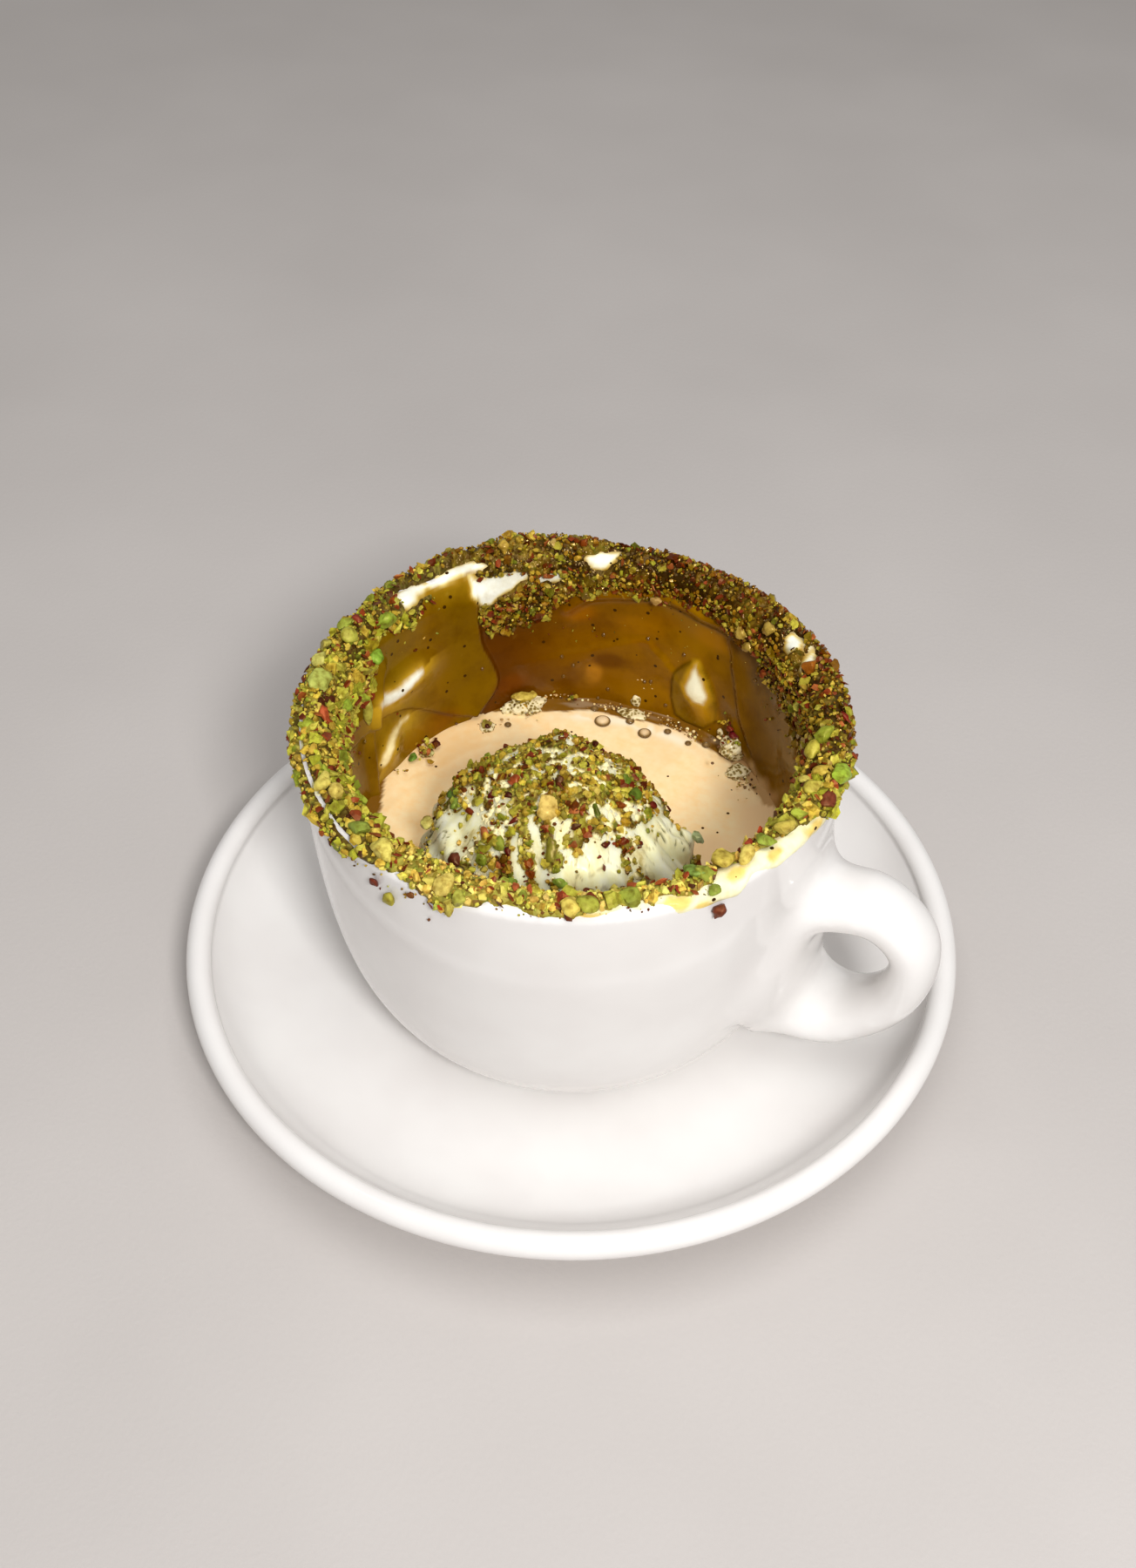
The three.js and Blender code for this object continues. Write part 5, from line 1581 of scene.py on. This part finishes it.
# A film over coffee, very shiny, with painted shade darkening its foot and painted light paling its
# crown.
bubble_skin, bubble_shader = surface("bubble_skin", {"IOR": 1.34, "Roughness": 0.05})
bubble_place = add(bubble_skin, "ShaderNodeTexCoord")
bubble_height = add(bubble_skin, "ShaderNodeSeparateXYZ", links={
    "Vector": bubble_place.outputs["Object"]})
bubble_rise = add(bubble_skin, "ShaderNodeMapRange", links={
    "Value": bubble_height.outputs["Z"], "From Min": (coffee_level + 0.05) * MM,
    "From Max": (coffee_level + 0.75) * MM})
bubble_painted_shade = add(bubble_skin, "ShaderNodeValToRGB", links={
    "Fac": bubble_rise.outputs["Result"]}, stops=[
    (0.0, "#5c4020"), (0.35, "#86683a"), (0.75, "#d8b888"), (1.0, "#e8cca0")])
join(bubble_skin, bubble_painted_shade.outputs["Color"], bubble_shader, "Base Color")

count = len(froth_places)
straight_up = np.tile([0.0, 0.0, 1.0], (count, 1))
froth_tones = ["#e8d2a4", "#fff2d6", "#c9a870", "#8a6a34", "#6a4a20"]
froth_tints = colours_from(froth_tones, np.zeros(count), 0.15) ** [1.0, 1.0, 0.8, 1.0]
froth = scatter("coffee_froth", [ball], np.array(froth_places), straight_up, froth_sizes, 1.0,
                froth_tints, film, 32.0)
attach(froth, "root")

single_bubbles = [  # x, y and size in mm
    (-10.3, 35.7, 3.2), (-0.6, 36.3, 2.6), (-5.0, 38.4, 1.6), (3.6, 39.0, 1.3), (-13.6, 38.6, 1.4),
    (9.0, 37.6, 1.1), (-28.0, 25.6, 1.2), (12.6, 38.8, 1.5),
]
bubble_flatness = 0.62
foot_thickness = 0.16  # a bead of coffee creeps up round each bubble's foot
bubble_mesh = bmesh.new()
for x, y, size in single_bubbles:
    at = Matrix.Translation(Vector((x, y, coffee_level - 0.1)) * MM)
    bmesh.ops.create_uvsphere(bubble_mesh, u_segments=20, v_segments=12, radius=size / 2 * MM,
                              matrix=at @ Matrix.Diagonal((1.0, 1.0, bubble_flatness, 1.0)))
    bead = [bubble_mesh.verts.new(at @ (MM * Vector((
        size / 2 + foot_thickness * math.cos(a), 0.0, 0.15 + foot_thickness * math.sin(a)))))
        for a in np.linspace(0.0, 2 * math.pi, 6, endpoint=False)]
    loop = [bubble_mesh.edges.new(pair) for pair in zip(bead, [*bead[1:], bead[0]])]
    bmesh.ops.spin(bubble_mesh, geom=bead + loop, cent=at.translation, axis=(0, 0, 1),
                   angle=2 * math.pi, steps=20, use_merge=True)
bmesh.ops.recalc_face_normals(bubble_mesh, faces=bubble_mesh.faces)
bubbles = piece("coffee_bubbles", to_mesh(bubble_mesh, "coffee_bubbles"), bubble_skin)
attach(bubbles, "root")

# A film of wet cream over air: a small dark shiny bead.
wall_skin, _ = surface("cream_bubble", {
    "Base Color": linear("#6a4612"), "IOR": 1.5, "Roughness": 0.04})
wall_bubble_radius = 0.48
wall_bubbles = [  # degrees round and height in mm, on the cream above the coffee
    (119.2, 51.8), (116.0, 49.4), (118.7, 46.2), (108.9, 39.7), (107.8, 57.1), (95.4, 58.4), (94.1, 46.6),
    (84.8, 57.0), (60.6, 61.2), (106.2, 42.5), (95.9, 46.2), (142.1, 51.9), (89.0, 42.0), (71.0, 41.0),
]
wall_mesh = bmesh.new()
for azimuth, height in wall_bubbles:
    at, level = np.array([azimuth]), np.array([height])
    face = np.interp(level, line_height[::-1], line_radius[::-1])
    depth = cream_depth(at, level, round_at(at, face, level))
    spot = round_at(at, face - depth + 0.05, level)[0]
    bmesh.ops.create_icosphere(wall_mesh, subdivisions=3, radius=wall_bubble_radius * MM,
                               matrix=Matrix.Translation(Vector(spot) * MM))
wall_froth = piece("cream_bubbles", to_mesh(wall_mesh, "cream_bubbles"), wall_skin)
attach(wall_froth, "root")

# ----------------------------------------------------------------------------------------------
# Loose crumbs: what fell off the crust on to the coffee, on to the wet cream below the crust and
# on to the cup's side under the front of the rim.

loose_groups = [  # x, y, mm above the coffee, spread, bits, smallest and largest
    (-27.6, 32.0, 1.5, 1.6, 14, 0.6, 1.6), (-31.5, 22.9, 0.6, 1.0, 9, 0.6, 2.0),
    (-39.3, 10.2, 0.8, 2.3, 26, 0.6, 2.0), (18.9, 38.8, 4.4, 1.9, 36, 0.5, 1.5),
    (16.8, 41.4, 6.0, 1.9, 26, 0.5, 1.4), (-41.0, 2.0, 0.4, 1.8, 8, 0.4, 0.9),
    (20.6, 10.8, 0.6, 0.5, 3, 1.2, 2.6), (-19.0, 38.5, 1.0, 1.0, 5, 0.6, 1.6),
    (10.0, 41.0, 0.2, 4.0, 14, 0.3, 0.7), (24.0, 30.0, 0.2, 4.0, 14, 0.3, 0.7),
]
fallen_groups = [  # degrees round, lowest and highest u, bits, smallest and largest
    (240, -4.5, -1.0, 26, 0.4, 1.1), (262, -3.0, 1.0, 14, 0.4, 1.0), (292, 1.0, 3.0, 24, 0.3, 0.8),
    (315, 1.0, 3.0, 14, 0.3, 0.8), (165, 8.0, 30.0, 26, 0.4, 1.5), (183, 14.0, 34.0, 30, 0.4, 1.6),
    (120, 12.0, 30.0, 34, 0.25, 0.6), (85, 10.0, 30.0, 34, 0.25, 0.6), (50, 14.0, 26.0, 24, 0.3, 1.0),
]
loose_places, loose_sizes = [], []
for x, y, above, spread, count, smallest, largest in loose_groups:
    for off, size in zip(rng.normal(size=(count, 3)), rng.uniform(size=count)):
        spot = Vector((x, y, coffee_level + above))
        spot += Vector((off[0], off[1], abs(off[2]) * 0.35)) * spread * 0.6
        loose_places.append(kept_off_wall(spot, 2.3, 1.0))
        loose_sizes.append(smallest + (largest - smallest) * size ** 2.2)
for azimuth, low, high, count, smallest, largest in fallen_groups:
    spots, out = on_crust(azimuth + rng.normal(size=count) * 9.0, rng.uniform(low, high, count))
    on_wall = high > 4.0  # on thick cream, where outside it is only a smear
    loose_places += [tuple(p) for p in spots + out * (0.15 if on_wall else -0.45)]
    loose_sizes += list(smallest + (largest - smallest) * rng.uniform(size=count) ** 2.5)
count = len(loose_places)
straight_up = np.tile([0.0, 0.0, 1.0], (count, 1))
loose_tints = colours_from(greens + yellows + skins + olives, rng.uniform(0.0, 0.6, count), 0.3)
loose = scatter("loose_crumbs", bit_shapes, np.array(loose_places), straight_up, loose_sizes, 0.3,
                loose_tints, kernel, None)
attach(loose, "root")
